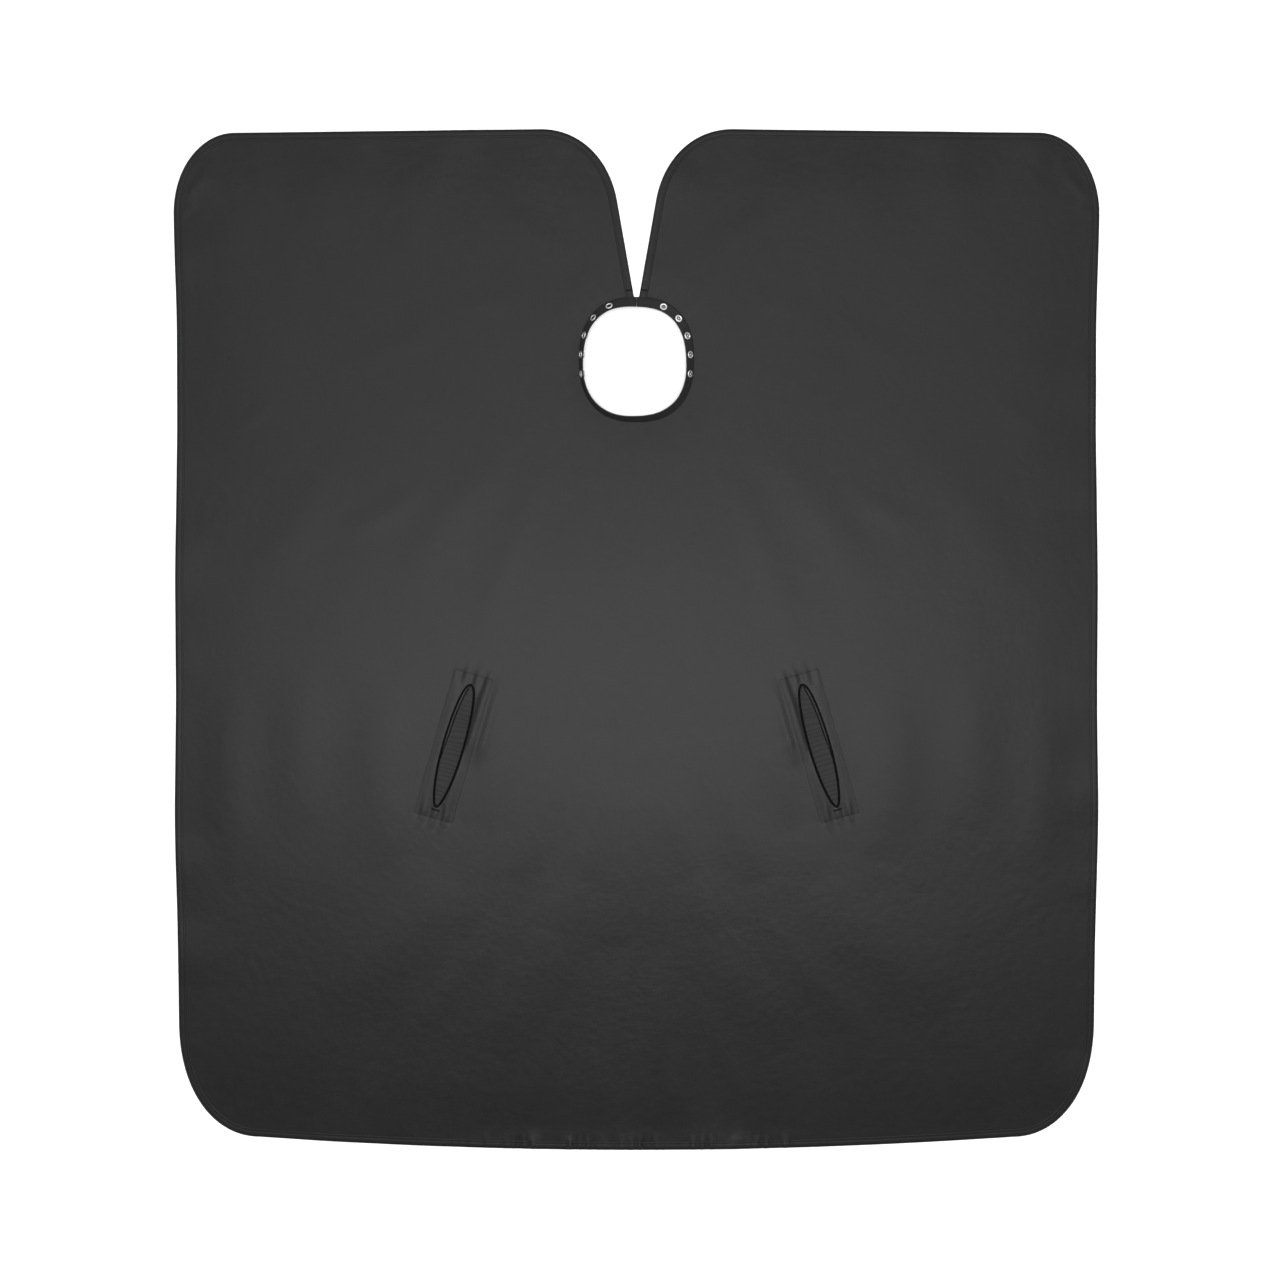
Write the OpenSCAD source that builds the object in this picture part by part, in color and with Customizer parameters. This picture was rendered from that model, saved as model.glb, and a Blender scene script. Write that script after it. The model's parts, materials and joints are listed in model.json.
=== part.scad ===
// Barber cape, laid out flat with its outer face up.
// X runs across the cape, +Y towards the open back of the neck, and +Z up out of the cloth.
// The origin is under the middle of the outline, on the surface that the cape lies on.
// One large panel is cut to a rounded outline with a neck hole, and with a V slit at the back.
// A folded binding runs round the outline, and a snap-fastened neckband stands on the neck hole.
// Each side has a piped hand slit with a guard sewn under it.
// Left is -X and right is +X, seen from above.

/* [Outline] */
// Width across the cape
cape_w = 1270; // [1050:5:1530]
// Length from the front hem to the back edges
cape_l = 1400; // [1160:5:1690]
// Width of the rounded outer back corners
back_corner_w = 84; // [60:1:110]
// Length of the rounded outer back corners
back_corner_l = 117; // [80:1:150]
// Width of the rounded front corners
front_corner_w = 118; // [80:1:150]
// Length of the rounded front corners
front_corner_l = 177; // [120:1:220]
// How far the front hem bows out in the middle
hem_bow = 18; // [5:1:40]
// How far the back edges drop towards the sides
back_drop = 5; // [1:1:12]
// How much each side draws in towards the front
side_taper = 5; // [0:1:15]

/* [Back opening] */
// Gap between the two back edges where they meet the neckband
slit_neck_gap = 7; // [4:0.5:14]
// Angle that each back edge leans away from the middle
slit_angle = 10; // [4:0.5:14]
// Width of the rounded corners at the mouth of the back opening
mouth_corner_w = 105; // [60:1:130]
// Length of the rounded corners at the mouth of the back opening
mouth_corner_l = 98; // [60:1:120]

/* [Cloth] */
// Thickness that stands in for the panel cloth
shell_t = 0.6; // [0.4:0.05:1]
// Thickness of each leg of the folded edge binding
binding_t = 0.6; // [0.5:0.05:1]
// Width of the edge binding
binding_w = 11; // [6:0.5:16]
// Gap between the back halves and the front, at the fold, on each side of its axis
fold_clearance = 1.2; // [1.1:0.1:2]

/* [Neck] */
// Distance from the middle of the cape to the middle of the neck hole
neck_y = 384; // [300:1:440]
// Half width of the neck seam
neck_rx = 79; // [65:1:95]
// Half length of the neck seam
neck_ry = 86; // [70:1:105]
// How square the neck seam is: 2 is an ellipse
neck_square = 2.4; // [2:0.1:3]
// How far the fold axis is in front of the middle of the neck
fold_ahead = 45; // [38:1:50]

/* [Neckband] */
// Height of the neckband along its slope
band_h = 16; // [15:0.5:20]
// Thickness of each leaf of the folded neckband cover
cover_t = 0.5; // [0.3:0.05:0.8]
// Thickness of the stiff interlining inside the neckband
interlining_t = 0.6; // [0.4:0.05:1]
// How far the neckband's top leans in over the hole at the left
lean_left = 4.8; // [3:0.1:8]
// How far the neckband's top leans in over the hole at the right
lean_right = 10.3; // [6:0.1:12]
// How far the neckband's top leans in over the hole at the back
lean_back = 14; // [9:0.1:14]
// How far the neckband's top leans in over the hole at the front
lean_front = 6.5; // [4:0.1:9]
// Gap between the two ends of the neckband
band_end_gap = 1; // [0.6:0.1:3]

/* [Snaps] */
// Number of snaps along each side of the neckband
snap_count = 5; // [2:1:5]
// Outer diameter of a ring snap
snap_d = 10; // [9.5:0.1:10.5]
// Width of the metal of the prong ring
ring_w = 1.9; // [1.6:0.1:2.1]
// Distance along the neckband from its end to the first snap
snap_first = 37; // [20:0.5:40]
// Distance along the neckband from one snap to the next
snap_pitch = 26.5; // [20:0.5:27]
// Radius of the stud's head
stud_head_r = 2.05; // [1.9:0.05:2.1]
// Clearance round the stud's head in the socket
stud_clearance = 0.15; // [0.1:0.05:0.2]

/* [Hand slits] */
// Length of the slit
slit_l = 176; // [140:1:215]
// Width of the slit at its middle
slit_w = 27; // [20:1:34]
// Angle that the slit's back end leans towards the middle
slit_tilt = 16; // [0:1:25]
// Distance from the middle of the cape to the middle of a slit, across
slit_x = 251; // [180:1:280]
// Distance from the middle of the cape to the middle of a slit, towards the front
slit_y = 146; // [60:1:240]
// Width of the piping that covers the slit's edge
piping_w = 3; // [2:0.25:5]
// Cloth of the guard beyond the slit, on each side
guard_margin = 15.5; // [10:0.5:22]

/* [Hidden] */
$fn = 64;
snaps = [1:snap_count];

cloth_grey = [0.22, 0.22, 0.22];
binding_black = [0.12, 0.12, 0.12];
thread_black = [0.05, 0.05, 0.05];
interlining_grey = [0.6, 0.6, 0.58];
snap_silver = [0.78, 0.78, 0.8];

// Heights of the layers, from the surface up
shell_z = binding_t;
shell_top = shell_z + shell_t;
binding_top = shell_top + binding_t;
guard_clearance = 0.1;
guard_t = shell_z - guard_clearance;
piping_t = 0.6;
piping_lip = 1;
tack_t = 0.4;

half_w = cape_w / 2;
half_l = cape_l / 2;
neck_back_y = neck_y + neck_ry;
fold_y = neck_y - fold_ahead;
fold_z = binding_top / 2;
curve_steps = 12;
round_k = 0.55;
far = 2 * cape_l;

// ---- Outline of the cloth ----

function bezier(a, b, c, d) = [
    for (i = [0:curve_steps]) let (t = i / curve_steps, s = 1 - t)
        s * s * s * a + 3 * s * s * t * b + 3 * s * t * t * c + t * t * t * d];

// A round corner from point a, leaving along da, to point b, arriving against db
function corner(a, da, b, db) = bezier(a, a + round_k * da, b + round_k * db, b);

function slit_edge_x(y, inset) =
    slit_neck_gap / 2 + (y - neck_back_y) * tan(slit_angle) + inset / cos(slit_angle);

mouth_y = half_l - mouth_corner_l;
mouth_dir = mouth_corner_l * [tan(slit_angle), 1];

// The right half of the outline, drawn in by inset, from the neck round to the front hem's middle
function right_half(inset) = let (
    mouth_x = slit_edge_x(mouth_y, inset),
    mouth_end = [slit_edge_x(mouth_y, 0) + mouth_corner_w, half_l - inset],
    back_end = [half_w - back_corner_w, half_l - back_drop - inset],
    side_back = [half_w - inset, half_l - back_corner_l],
    side_front = [half_w - side_taper - inset, front_corner_l - half_l],
    hem_end = [half_w - front_corner_w, hem_bow - half_l + inset])
    concat(
        [[slit_neck_gap / 2 + inset, neck_y], [slit_edge_x(neck_back_y, inset), neck_back_y]],
        corner([mouth_x, mouth_y], mouth_dir, mouth_end, [-mouth_corner_w, 0]),
        corner(back_end, [back_corner_w, 0], side_back, [0, back_corner_l]),
        corner(side_front, [0, -front_corner_l], hem_end, [front_corner_w, 0]),
        [for (i = [1:curve_steps]) let (s = 1 - i / curve_steps)
            [s * hem_end[0], (hem_bow * s * s) - half_l + inset]]);

function mirrored(points) = [for (i = [len(points) - 1:-1:0]) [-points[i][0], points[i][1]]];

module outline(inset) {
    half = right_half(inset);
    polygon(concat(half, mirrored(half)));
}

// ---- Neck seam and neckband section ----

function neck_r(t) = 1 / pow(
    pow(abs(cos(t)) / neck_rx, neck_square) + pow(abs(sin(t)) / neck_ry, neck_square), 1 / neck_square);
function neck_point(t) = [neck_r(t) * cos(t), neck_y + neck_r(t) * sin(t), 0];
function along(t) = let (d = neck_point(t + 0.5) - neck_point(t - 0.5)) d / norm(d);
function inward(t) = let (d = along(t)) [-d[1], d[0], 0];

// Smooth lean that takes the four named values at the right, back, left and front
lean_mean = (lean_left + lean_right + lean_back + lean_front) / 4;
lean_split = (lean_left + lean_right - lean_back - lean_front) / 4;
function lean(t) = lean_mean + (lean_right - lean_left) / 2 * cos(t)
    + (lean_back - lean_front) / 2 * sin(t) + lean_split * cos(2 * t);
function tilt(t) = asin(lean(t) / band_h);
function up_band(t) = inward(t) * sin(tilt(t)) + [0, 0, cos(tilt(t))];
function through_band(t) = inward(t) * cos(tilt(t)) - [0, 0, sin(tilt(t))];

cover_clearance = 0.05;
core_t = interlining_t + 2 * cover_clearance;
band_t = 2 * cover_t + core_t;
band_step = 2.5;
band_seam_clearance = 0.3;

// A point of the band's section: p through it from the outer face, q up it from the seam
function band_point(t, p, q) = let (foot = p * tan(tilt(t)))
    neck_point(t) + [0, 0, shell_top] + p * through_band(t) + max(q, foot) * up_band(t);

// Sweeps a section of points, listed round its edge, along the neck seam.
// Every wall is split along the diagonal that rises, so that walls side by side stay the same distance apart.
module band_sweep(t_from, t_to, section, caps) {
    n = len(section);
    stations = [for (t = [t_from:band_step:t_to]) t];
    last = len(stations) - 1;
    points = [for (t = stations, s = section) band_point(t, s[0], s[1])];
    walls = [for (i = [0:last - 1], j = [0:n - 1]) let (a = i * n + j, b = i * n + (j + 1) % n)
        each section[(j + 1) % n][1] >= section[j][1]
            ? [[a, b, b + n], [a, b + n, a + n]] : [[a, b, a + n], [b, b + n, a + n]]];
    first_cap = [for (c = caps) [c[3], c[2], c[1], c[0]]];
    last_cap = [for (c = caps) [for (k = c) k + last * n]];
    polyhedron(points, concat(walls, first_cap, last_cap));
}

cover_section = [[0, 0], [0, band_h], [band_t, band_h], [band_t, 0],
    [band_t - cover_t, 0], [band_t - cover_t, band_h - cover_t], [cover_t, band_h - cover_t], [cover_t, 0]];
cover_caps = [[0, 1, 6, 7], [1, 2, 5, 6], [2, 3, 4, 5]];
core_section = [for (p = [cover_t + cover_clearance, band_t - cover_t - cover_clearance]) each
    p < band_t / 2 ? [[p, 0], [p, band_h - 2 * cover_t]] : [[p, band_h - 2 * cover_t], [p, 0]]];
core_caps = [[0, 1, 2, 3]];

module neck_seam(grow) {
    polygon([for (t = [0:band_step:359]) let (p = neck_point(t) - grow * inward(t)) [p[0], p[1]]]);
}

// The hole in the cloth follows the inner foot of the neckband
module neck_hole() {
    polygon([for (t = [0:band_step:359])
        let (p = neck_point(t) + band_t / cos(tilt(t)) * inward(t)) [p[0], p[1]]]);
}

// ---- The three moving regions ----

// Flat region of the front, or of one back half
module region(part) {
    if (part == "front") translate([-far, -2 * far]) square([2 * far, 2 * far + fold_y - fold_clearance]);
    else {
        x = part == "left" ? -far : 0;
        translate([x, fold_y + fold_clearance]) square([far, far]);
    }
}

// The same regions as solids: above the cloth each leans back 45 degrees, which leaves room to fold
module folding_region(part) {
    reach = 200;
    side = part == "front" ? -1 : 1;
    profile = [[side * fold_clearance, -reach], [side * fold_clearance, 0],
        [side * (fold_clearance + reach), reach], [side * 2 * reach, reach], [side * 2 * reach, -reach]];
    x_from = part == "right" ? band_end_gap / 2 : -reach;
    x_size = part == "front" ? 2 * reach : reach - band_end_gap / 2;
    translate([x_from, fold_y, fold_z]) rotate([90, 0, 90]) linear_extrude(x_size) polygon(profile);
}

// ---- Cloth pieces ----

module layer(z, t) { translate([0, 0, z]) linear_extrude(t) children(); }

// The leaf-shaped slit: where two equal circles cross
slit_r = (slit_l * slit_l + slit_w * slit_w) / (4 * slit_w);
module leaf(grow) {
    intersection_for (side = [-1, 1])
        translate([side * (slit_r - slit_w / 2), 0]) circle(r = slit_r + grow, $fn = 256);
}

module at_slit(side) {
    mirror([side == "left" ? 1 : 0, 0, 0]) translate([slit_x, -slit_y, 0]) rotate(slit_tilt) children();
}

module panel(part) {
    color(cloth_grey) layer(shell_z, shell_t) difference() {
        intersection() { outline(binding_t); region(part); }
        neck_hole();
        if (part == "front") for (side = ["left", "right"]) at_slit(side) leaf(piping_lip);
    }
}

module edge_binding(part) {
    color(binding_black) difference() {
        layer(0, binding_top) difference() {
            intersection() { outline(0); region(part); }
            outline(binding_w);
            neck_seam(band_seam_clearance);
        }
        layer(shell_z, shell_t) outline(binding_t);
    }
}

module slit_piping(side) {
    color(thread_black) at_slit(side) {
        layer(shell_z, shell_t) difference() { leaf(piping_lip); leaf(0); }
        layer(shell_top, piping_t) difference() { leaf(piping_w); leaf(0); }
    }
}

module hand_guard(side) {
    corner_r = 6;
    color(cloth_grey) at_slit(side) layer(0, guard_t) offset(corner_r)
        square([slit_w, slit_l] + 2 * (guard_margin - corner_r) * [1, 1], center = true);
}

module stitch_bar(length, width) {
    hull() for (x = [-1, 1]) translate([x * (length - width) / 2, 0]) circle(d = width);
}

module slit_bar_tack(side) {
    past_tip = 3;
    color(thread_black) at_slit(side) translate([0, -slit_l / 2 - past_tip, 0])
        layer(shell_top + piping_t, tack_t) stitch_bar(12, 2.4);
}

module neck_bar_tack(side) {
    above_seam = 9;
    x = slit_edge_x(neck_back_y + above_seam, binding_w / 2);
    color(thread_black) mirror([side == "left" ? 1 : 0, 0, 0]) translate([x, neck_back_y + above_seam, 0])
        layer(binding_top, tack_t) stitch_bar(8, 2);
}

// ---- Neckband ----

function band_range(part) = part == "front" ? [190, 350] : part == "left" ? [85, 240] : [-60, 95];

module neckband_cover(part) {
    r = band_range(part);
    color(binding_black) intersection() {
        band_sweep(r[0], r[1], cover_section, cover_caps);
        folding_region(part);
    }
}

module neckband_interlining(part) {
    r = band_range(part);
    color(interlining_grey) intersection() {
        band_sweep(r[0], r[1], core_section, core_caps);
        folding_region(part);
    }
}

// ---- Ring snaps ----

// Angle of a distance along the middle of the band, from its end at the back
band_mid_r = (neck_rx + neck_ry) / 2 - lean_mean / 2;
function snap_angle(side, i) = let (a = (snap_first + (i - 1) * snap_pitch) / band_mid_r * 180 / PI)
    side == "left" ? 90 + a : 90 - a;
snap_up = 8.5;
outer_seat = 0.2;
inner_seat = 0.4;
snap_r = snap_d / 2;
ring_t = 0.7;
prong_r = 0.3;
prong_at = snap_r - ring_w + 0.45;
prong_reach = 0.6;
groove_in = prong_at - 0.6;
groove_out = prong_at + 0.6;
groove_deep = 0.8;

// Puts a snap on the outer face of the band, with its +Z out of the band
module on_band(side, i) {
    t = snap_angle(side, i);
    x = along(t);
    y = up_band(t);
    z = -through_band(t);
    o = band_point(t, 0, snap_up);
    multmatrix([[x[0], y[0], z[0], o[0]], [x[1], y[1], z[1], o[1]], [x[2], y[2], z[2], o[2]], [0, 0, 0, 1]])
        children();
}

// Open ring with five prongs that go down through the band
module prong_ring() {
    rim = snap_r - ring_w;
    edge = 0.4;
    prong_l = band_t + outer_seat + inner_seat + prong_reach;
    rotate_extrude() polygon([[rim, 0], [snap_r, 0], [snap_r, ring_t - edge], [snap_r - edge, ring_t],
        [rim + edge, ring_t], [rim, ring_t - edge]]);
    for (i = [0:4]) rotate(72 * i) translate([prong_at, 0, -prong_l])
        cylinder(r = prong_r, h = prong_l + ring_t / 2, $fn = 24);
}

// Socket with a groove for the prongs and one for the spring, its mouth away from the band
bore_r = stud_head_r + stud_clearance;
socket_t = 1.9;
socket_r = snap_r - 0.4;
spring_wire_r = 0.2;
spring_deep = 1.25;
module snap_socket() {
    half_groove = spring_wire_r + 0.05;
    rotate_extrude() mirror([0, 1]) polygon([[bore_r, 0], [groove_in, 0], [groove_in, groove_deep],
        [groove_out, groove_deep], [groove_out, 0], [socket_r, 0], [socket_r, socket_t - 0.4],
        [socket_r - 0.4, socket_t], [bore_r, socket_t],
        [bore_r, spring_deep + half_groove], [bore_r + half_groove + 0.1, spring_deep + half_groove],
        [bore_r + half_groove + 0.1, spring_deep - half_groove], [bore_r, spring_deep - half_groove]]);
}

module snap_spring() {
    translate([0, 0, -spring_deep]) rotate_extrude(angle = 300)
        translate([bore_r + 0.05, 0]) circle(r = spring_wire_r, $fn = 24);
}

// Stud with a raised rim, a waisted post and a groove underneath for the prongs
stud_t = 1.3;
stud_post = 1.8;
module snap_stud() {
    neck = stud_head_r - 0.3;
    top = stud_t + stud_post;
    rotate_extrude() polygon([[0, 0], [groove_in, 0], [groove_in, groove_deep], [groove_out, groove_deep],
        [groove_out, 0], [snap_r - 0.3, 0], [snap_r, 0.3], [snap_r, stud_t - 0.4], [snap_r - 0.4, stud_t],
        [groove_out - 0.3, stud_t], [groove_in + 0.2, stud_t - 0.3], [neck, stud_t - 0.3],
        [neck, top - 1], [stud_head_r, top - 0.7], [stud_head_r, top - 0.4],
        [stud_head_r - 0.4, top], [0, top]]);
}

module left_prong_ring(i) {
    color(snap_silver) on_band("left", i) translate([0, 0, outer_seat]) prong_ring();
}
module left_snap_socket(i) {
    color(snap_silver) on_band("left", i) translate([0, 0, -band_t - inner_seat]) snap_socket();
}
module left_snap_spring(i) {
    color(snap_silver) on_band("left", i) translate([0, 0, -band_t - inner_seat]) snap_spring();
}
module right_snap_stud(i) {
    color(snap_silver) on_band("right", i) translate([0, 0, outer_seat]) snap_stud();
}
module right_prong_ring(i) {
    color(snap_silver) on_band("right", i)
        translate([0, 0, -band_t - inner_seat]) rotate([180, 0, 0]) prong_ring();
}

panel("front");  // front_panel
panel("left");  // left_back_panel
panel("right");  // right_back_panel
edge_binding("front");  // front_edge_binding
edge_binding("left");  // left_back_edge_binding
edge_binding("right");  // right_back_edge_binding
neckband_cover("front");  // front_neckband_cover
neckband_cover("left");  // left_neckband_cover
neckband_cover("right");  // right_neckband_cover
neckband_interlining("front");  // front_neckband_interlining
neckband_interlining("left");  // left_neckband_interlining
neckband_interlining("right");  // right_neckband_interlining
slit_piping("left");  // left_slit_piping
slit_piping("right");  // right_slit_piping
hand_guard("left");  // left_hand_guard
hand_guard("right");  // right_hand_guard
slit_bar_tack("left");  // left_slit_bar_tack
slit_bar_tack("right");  // right_slit_bar_tack
neck_bar_tack("left");  // left_neck_bar_tack
neck_bar_tack("right");  // right_neck_bar_tack
for (i = snaps) {
    left_prong_ring(i);
    left_snap_socket(i);
    left_snap_spring(i);
    right_snap_stud(i);
    right_prong_ring(i);
}
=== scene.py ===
# %% [markdown]
# # A barber cape, laid out flat
# A barber cape is one large cut of thin coated cloth. A narrow hem runs round its edge, a stiff
# neckband with snaps stands on the neck hole, and two hand slits let the wearer reach out.
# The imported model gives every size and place. This lesson dresses it: cloth, thread and metal.

# %% Load the frame
import json
import math

import bpy
import numpy as np
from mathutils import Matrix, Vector, kdtree, noise
from mathutils.geometry import delaunay_2d_cdt


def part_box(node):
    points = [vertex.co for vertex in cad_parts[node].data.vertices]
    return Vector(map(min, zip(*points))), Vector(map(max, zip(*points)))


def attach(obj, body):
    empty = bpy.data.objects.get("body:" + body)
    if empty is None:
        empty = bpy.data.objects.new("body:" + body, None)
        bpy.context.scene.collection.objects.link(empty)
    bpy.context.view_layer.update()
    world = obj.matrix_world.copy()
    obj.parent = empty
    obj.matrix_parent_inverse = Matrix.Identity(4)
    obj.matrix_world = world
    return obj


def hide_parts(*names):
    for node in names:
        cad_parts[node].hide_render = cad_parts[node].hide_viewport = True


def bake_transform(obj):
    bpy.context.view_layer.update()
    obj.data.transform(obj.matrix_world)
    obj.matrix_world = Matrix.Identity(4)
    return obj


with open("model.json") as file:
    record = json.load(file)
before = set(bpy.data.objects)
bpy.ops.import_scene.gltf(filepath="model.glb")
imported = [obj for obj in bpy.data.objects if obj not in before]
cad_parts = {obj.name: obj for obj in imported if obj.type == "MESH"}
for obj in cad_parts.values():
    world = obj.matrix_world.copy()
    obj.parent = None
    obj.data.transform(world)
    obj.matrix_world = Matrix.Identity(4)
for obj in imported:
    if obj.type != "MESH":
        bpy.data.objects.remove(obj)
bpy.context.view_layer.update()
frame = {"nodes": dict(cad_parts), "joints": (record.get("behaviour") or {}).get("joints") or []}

MM = 0.001

# %% [markdown]
# ## Sizes taken from the frame
# The cape's outline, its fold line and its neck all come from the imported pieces, so the cloth lands
# exactly where the model has it. The neck seam is where the band is widest, because it leans inwards.

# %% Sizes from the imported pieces
HALF_W, HALF_L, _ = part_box("right_back_edge_binding")[1]
FOLD_Y = frame["joints"][0]["pos_m"][1]
left_band, front_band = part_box("left_neckband_cover"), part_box("front_neckband_cover")
NECK_RX = -left_band[0].x
NECK_Y = (left_band[1].y + front_band[0].y) / 2
NECK_RY = (left_band[1].y - front_band[0].y) / 2
NECK_BACK = NECK_Y + NECK_RY
CLOTH_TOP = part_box("front_panel")[1].z
piping_low, piping_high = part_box("right_slit_piping")
SLIT_X = (piping_low.x + piping_high.x) / 2
SLIT_Y = (piping_low.y + piping_high.y) / 2
print(f"cape {2 * HALF_W:.3f} x {2 * HALF_L:.3f} m, fold at y = {FOLD_Y:.3f}")
print(f"neck seam {2 * NECK_RX:.3f} x {2 * NECK_RY:.3f} m")

# %% [markdown]
# ## The cutting pattern
# A tailor draws a cape with straight runs and round corners. Each corner here is one cubic curve
# that leaves and arrives along the straight runs. Sampling the whole outline at an even step gives
# the hem, its thread and the cloth's edge the same points to follow.

# %% The outline of the cape
BACK_GAP, BACK_ANGLE = 7 * MM, math.radians(10)
MOUTH_CORNER = np.array([105, 98]) * MM
BACK_CORNER = np.array([84, 117]) * MM
FRONT_CORNER = np.array([118, 177]) * MM
HEM_BOW, BACK_DROP, SIDE_TAPER = 18 * MM, 5 * MM, 5 * MM
ROUND = 0.55  # how far each handle reaches towards the sharp corner
EDGE_STEP = 2 * MM


def corner(a, leave, b, arrive, steps=40):
    """A cubic curve from a to b. leave and arrive point from each end towards the sharp corner."""
    t = np.linspace(0, 1, steps)[:, None]
    a, b = np.array(a, float), np.array(b, float)
    c, d = a + ROUND * np.array(leave), b + ROUND * np.array(arrive)
    return (1 - t) ** 3 * a + 3 * (1 - t) ** 2 * t * c + 3 * (1 - t) * t**2 * d + t**3 * b


def even(points, step):
    """Resamples a polyline at an even step, and keeps both of its ends."""
    points = np.array(points, float)
    s = np.concatenate([[0], np.cumsum(np.linalg.norm(np.diff(points, axis=0), axis=1))])
    at = np.linspace(0, s[-1], max(2, round(s[-1] / step) + 1))
    return np.stack([np.interp(at, s, points[:, k]) for k in range(points.shape[1])], axis=1)


def back_edge_x(y):
    return BACK_GAP / 2 + (y - NECK_BACK) * math.tan(BACK_ANGLE)


def right_side():
    """The right half of the outline, from the neck seam round to the middle of the front hem."""
    mouth_y = HALF_L - MOUTH_CORNER[1]
    mouth = [back_edge_x(mouth_y), mouth_y]
    lean = MOUTH_CORNER[1] * np.array([math.tan(BACK_ANGLE), 1])
    side_back = [HALF_W, HALF_L - BACK_CORNER[1]]
    side_front = [HALF_W - SIDE_TAPER, FRONT_CORNER[1] - HALF_L]
    hem_end = np.array([HALF_W - FRONT_CORNER[0], HEM_BOW - HALF_L])
    s = np.linspace(1, 0, 60)[1:, None]
    bow = np.hstack([s * hem_end[0], HEM_BOW * s**2 - HALF_L])
    return np.vstack([
        [[BACK_GAP / 2, NECK_BACK]],
        corner(mouth, lean, [mouth[0] + MOUTH_CORNER[0], HALF_L], [-MOUTH_CORNER[0], 0]),
        corner([HALF_W - BACK_CORNER[0], HALF_L - BACK_DROP], [BACK_CORNER[0], 0],
               side_back, [0, BACK_CORNER[1]]),
        corner(side_front, [0, -FRONT_CORNER[1]], hem_end, [FRONT_CORNER[0], 0]),
        bow])


half = right_side()
cut = np.argmax(half[:, 1] < FOLD_Y)
side_x = np.interp(FOLD_Y, [half[cut, 1], half[cut - 1, 1]], [half[cut, 0], half[cut - 1, 0]])
mirror = np.array([-1.0, 1.0])
right_edge = even(np.vstack([half[:cut], [[side_x, FOLD_Y]]]), EDGE_STEP)
front_half = np.vstack([[[side_x, FOLD_Y]], half[cut:]])
front_edge = even(np.vstack([front_half, front_half[-2::-1] * mirror]), EDGE_STEP)
left_edge = right_edge[::-1] * mirror
edges = {"right": right_edge, "front": front_edge, "left": left_edge}
outline = np.vstack([right_edge[:-1], front_edge[:-1], left_edge])
print("outline points:", len(outline))

# %% [markdown]
# ## The neck seam and the band's slope
# The neck hole is a slightly squared oval. The band leans in by a different amount at the back,
# sides and front, as a soft band does when the cape lies flat, so its slope is a smooth function of
# the angle round the neck.

# %% Points on the neckband
NECK_SQUARE = 2.4
BAND_H, BAND_T = 16 * MM, 1.7 * MM
LEAN_LEFT, LEAN_RIGHT, LEAN_BACK, LEAN_FRONT = 4.8 * MM, 10.3 * MM, 14 * MM, 6.5 * MM


def neck_point(t):
    r = (np.abs(np.cos(t) / NECK_RX) ** NECK_SQUARE + np.abs(np.sin(t) / NECK_RY) ** NECK_SQUARE)
    r = r ** (-1 / NECK_SQUARE)
    return np.stack([r * np.cos(t), NECK_Y + r * np.sin(t)], axis=-1)


def neck_inward(t):
    d = neck_point(t + 0.01) - neck_point(t - 0.01)
    d /= np.linalg.norm(d, axis=-1, keepdims=True)
    return np.stack([-d[..., 1], d[..., 0]], axis=-1)


def band_tilt(t):
    mean = (LEAN_LEFT + LEAN_RIGHT + LEAN_BACK + LEAN_FRONT) / 4
    split = (LEAN_LEFT + LEAN_RIGHT - LEAN_BACK - LEAN_FRONT) / 4
    lean = mean + (LEAN_RIGHT - LEAN_LEFT) / 2 * np.cos(t) + (LEAN_BACK - LEAN_FRONT) / 2 * np.sin(t)
    return np.arcsin((lean + split * np.cos(2 * t)) / BAND_H)


def band_points(t, p, q):
    """Points p metres through the band from its outer face and q metres up it from the seam."""
    a, inward = band_tilt(t), neck_inward(t)
    q = np.maximum(q, p * np.tan(a))
    flat = neck_point(t) + inward * (p * np.cos(a) + q * np.sin(a))[..., None]
    return np.concatenate([flat, (CLOTH_TOP - p * np.sin(a) + q * np.cos(a))[..., None]], axis=-1)


print("band leans", [round(math.degrees(band_tilt(np.array(x)))) for x in (0, math.pi / 2, math.pi)])

# %% [markdown]
# ## How the cloth lies
# Cloth laid on a table is never dead flat. It keeps a few long soft folds from being stored, it
# puckers where thread pulls it in, and it lifts beside an opening. A cloth simulation would give
# folds in random places, so the folds are drawn instead: each is a soft ridge along a short path.
# One function gives the height at any point, and cloth, hem, thread and piping all use it, so
# nothing floats or sinks.

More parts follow.
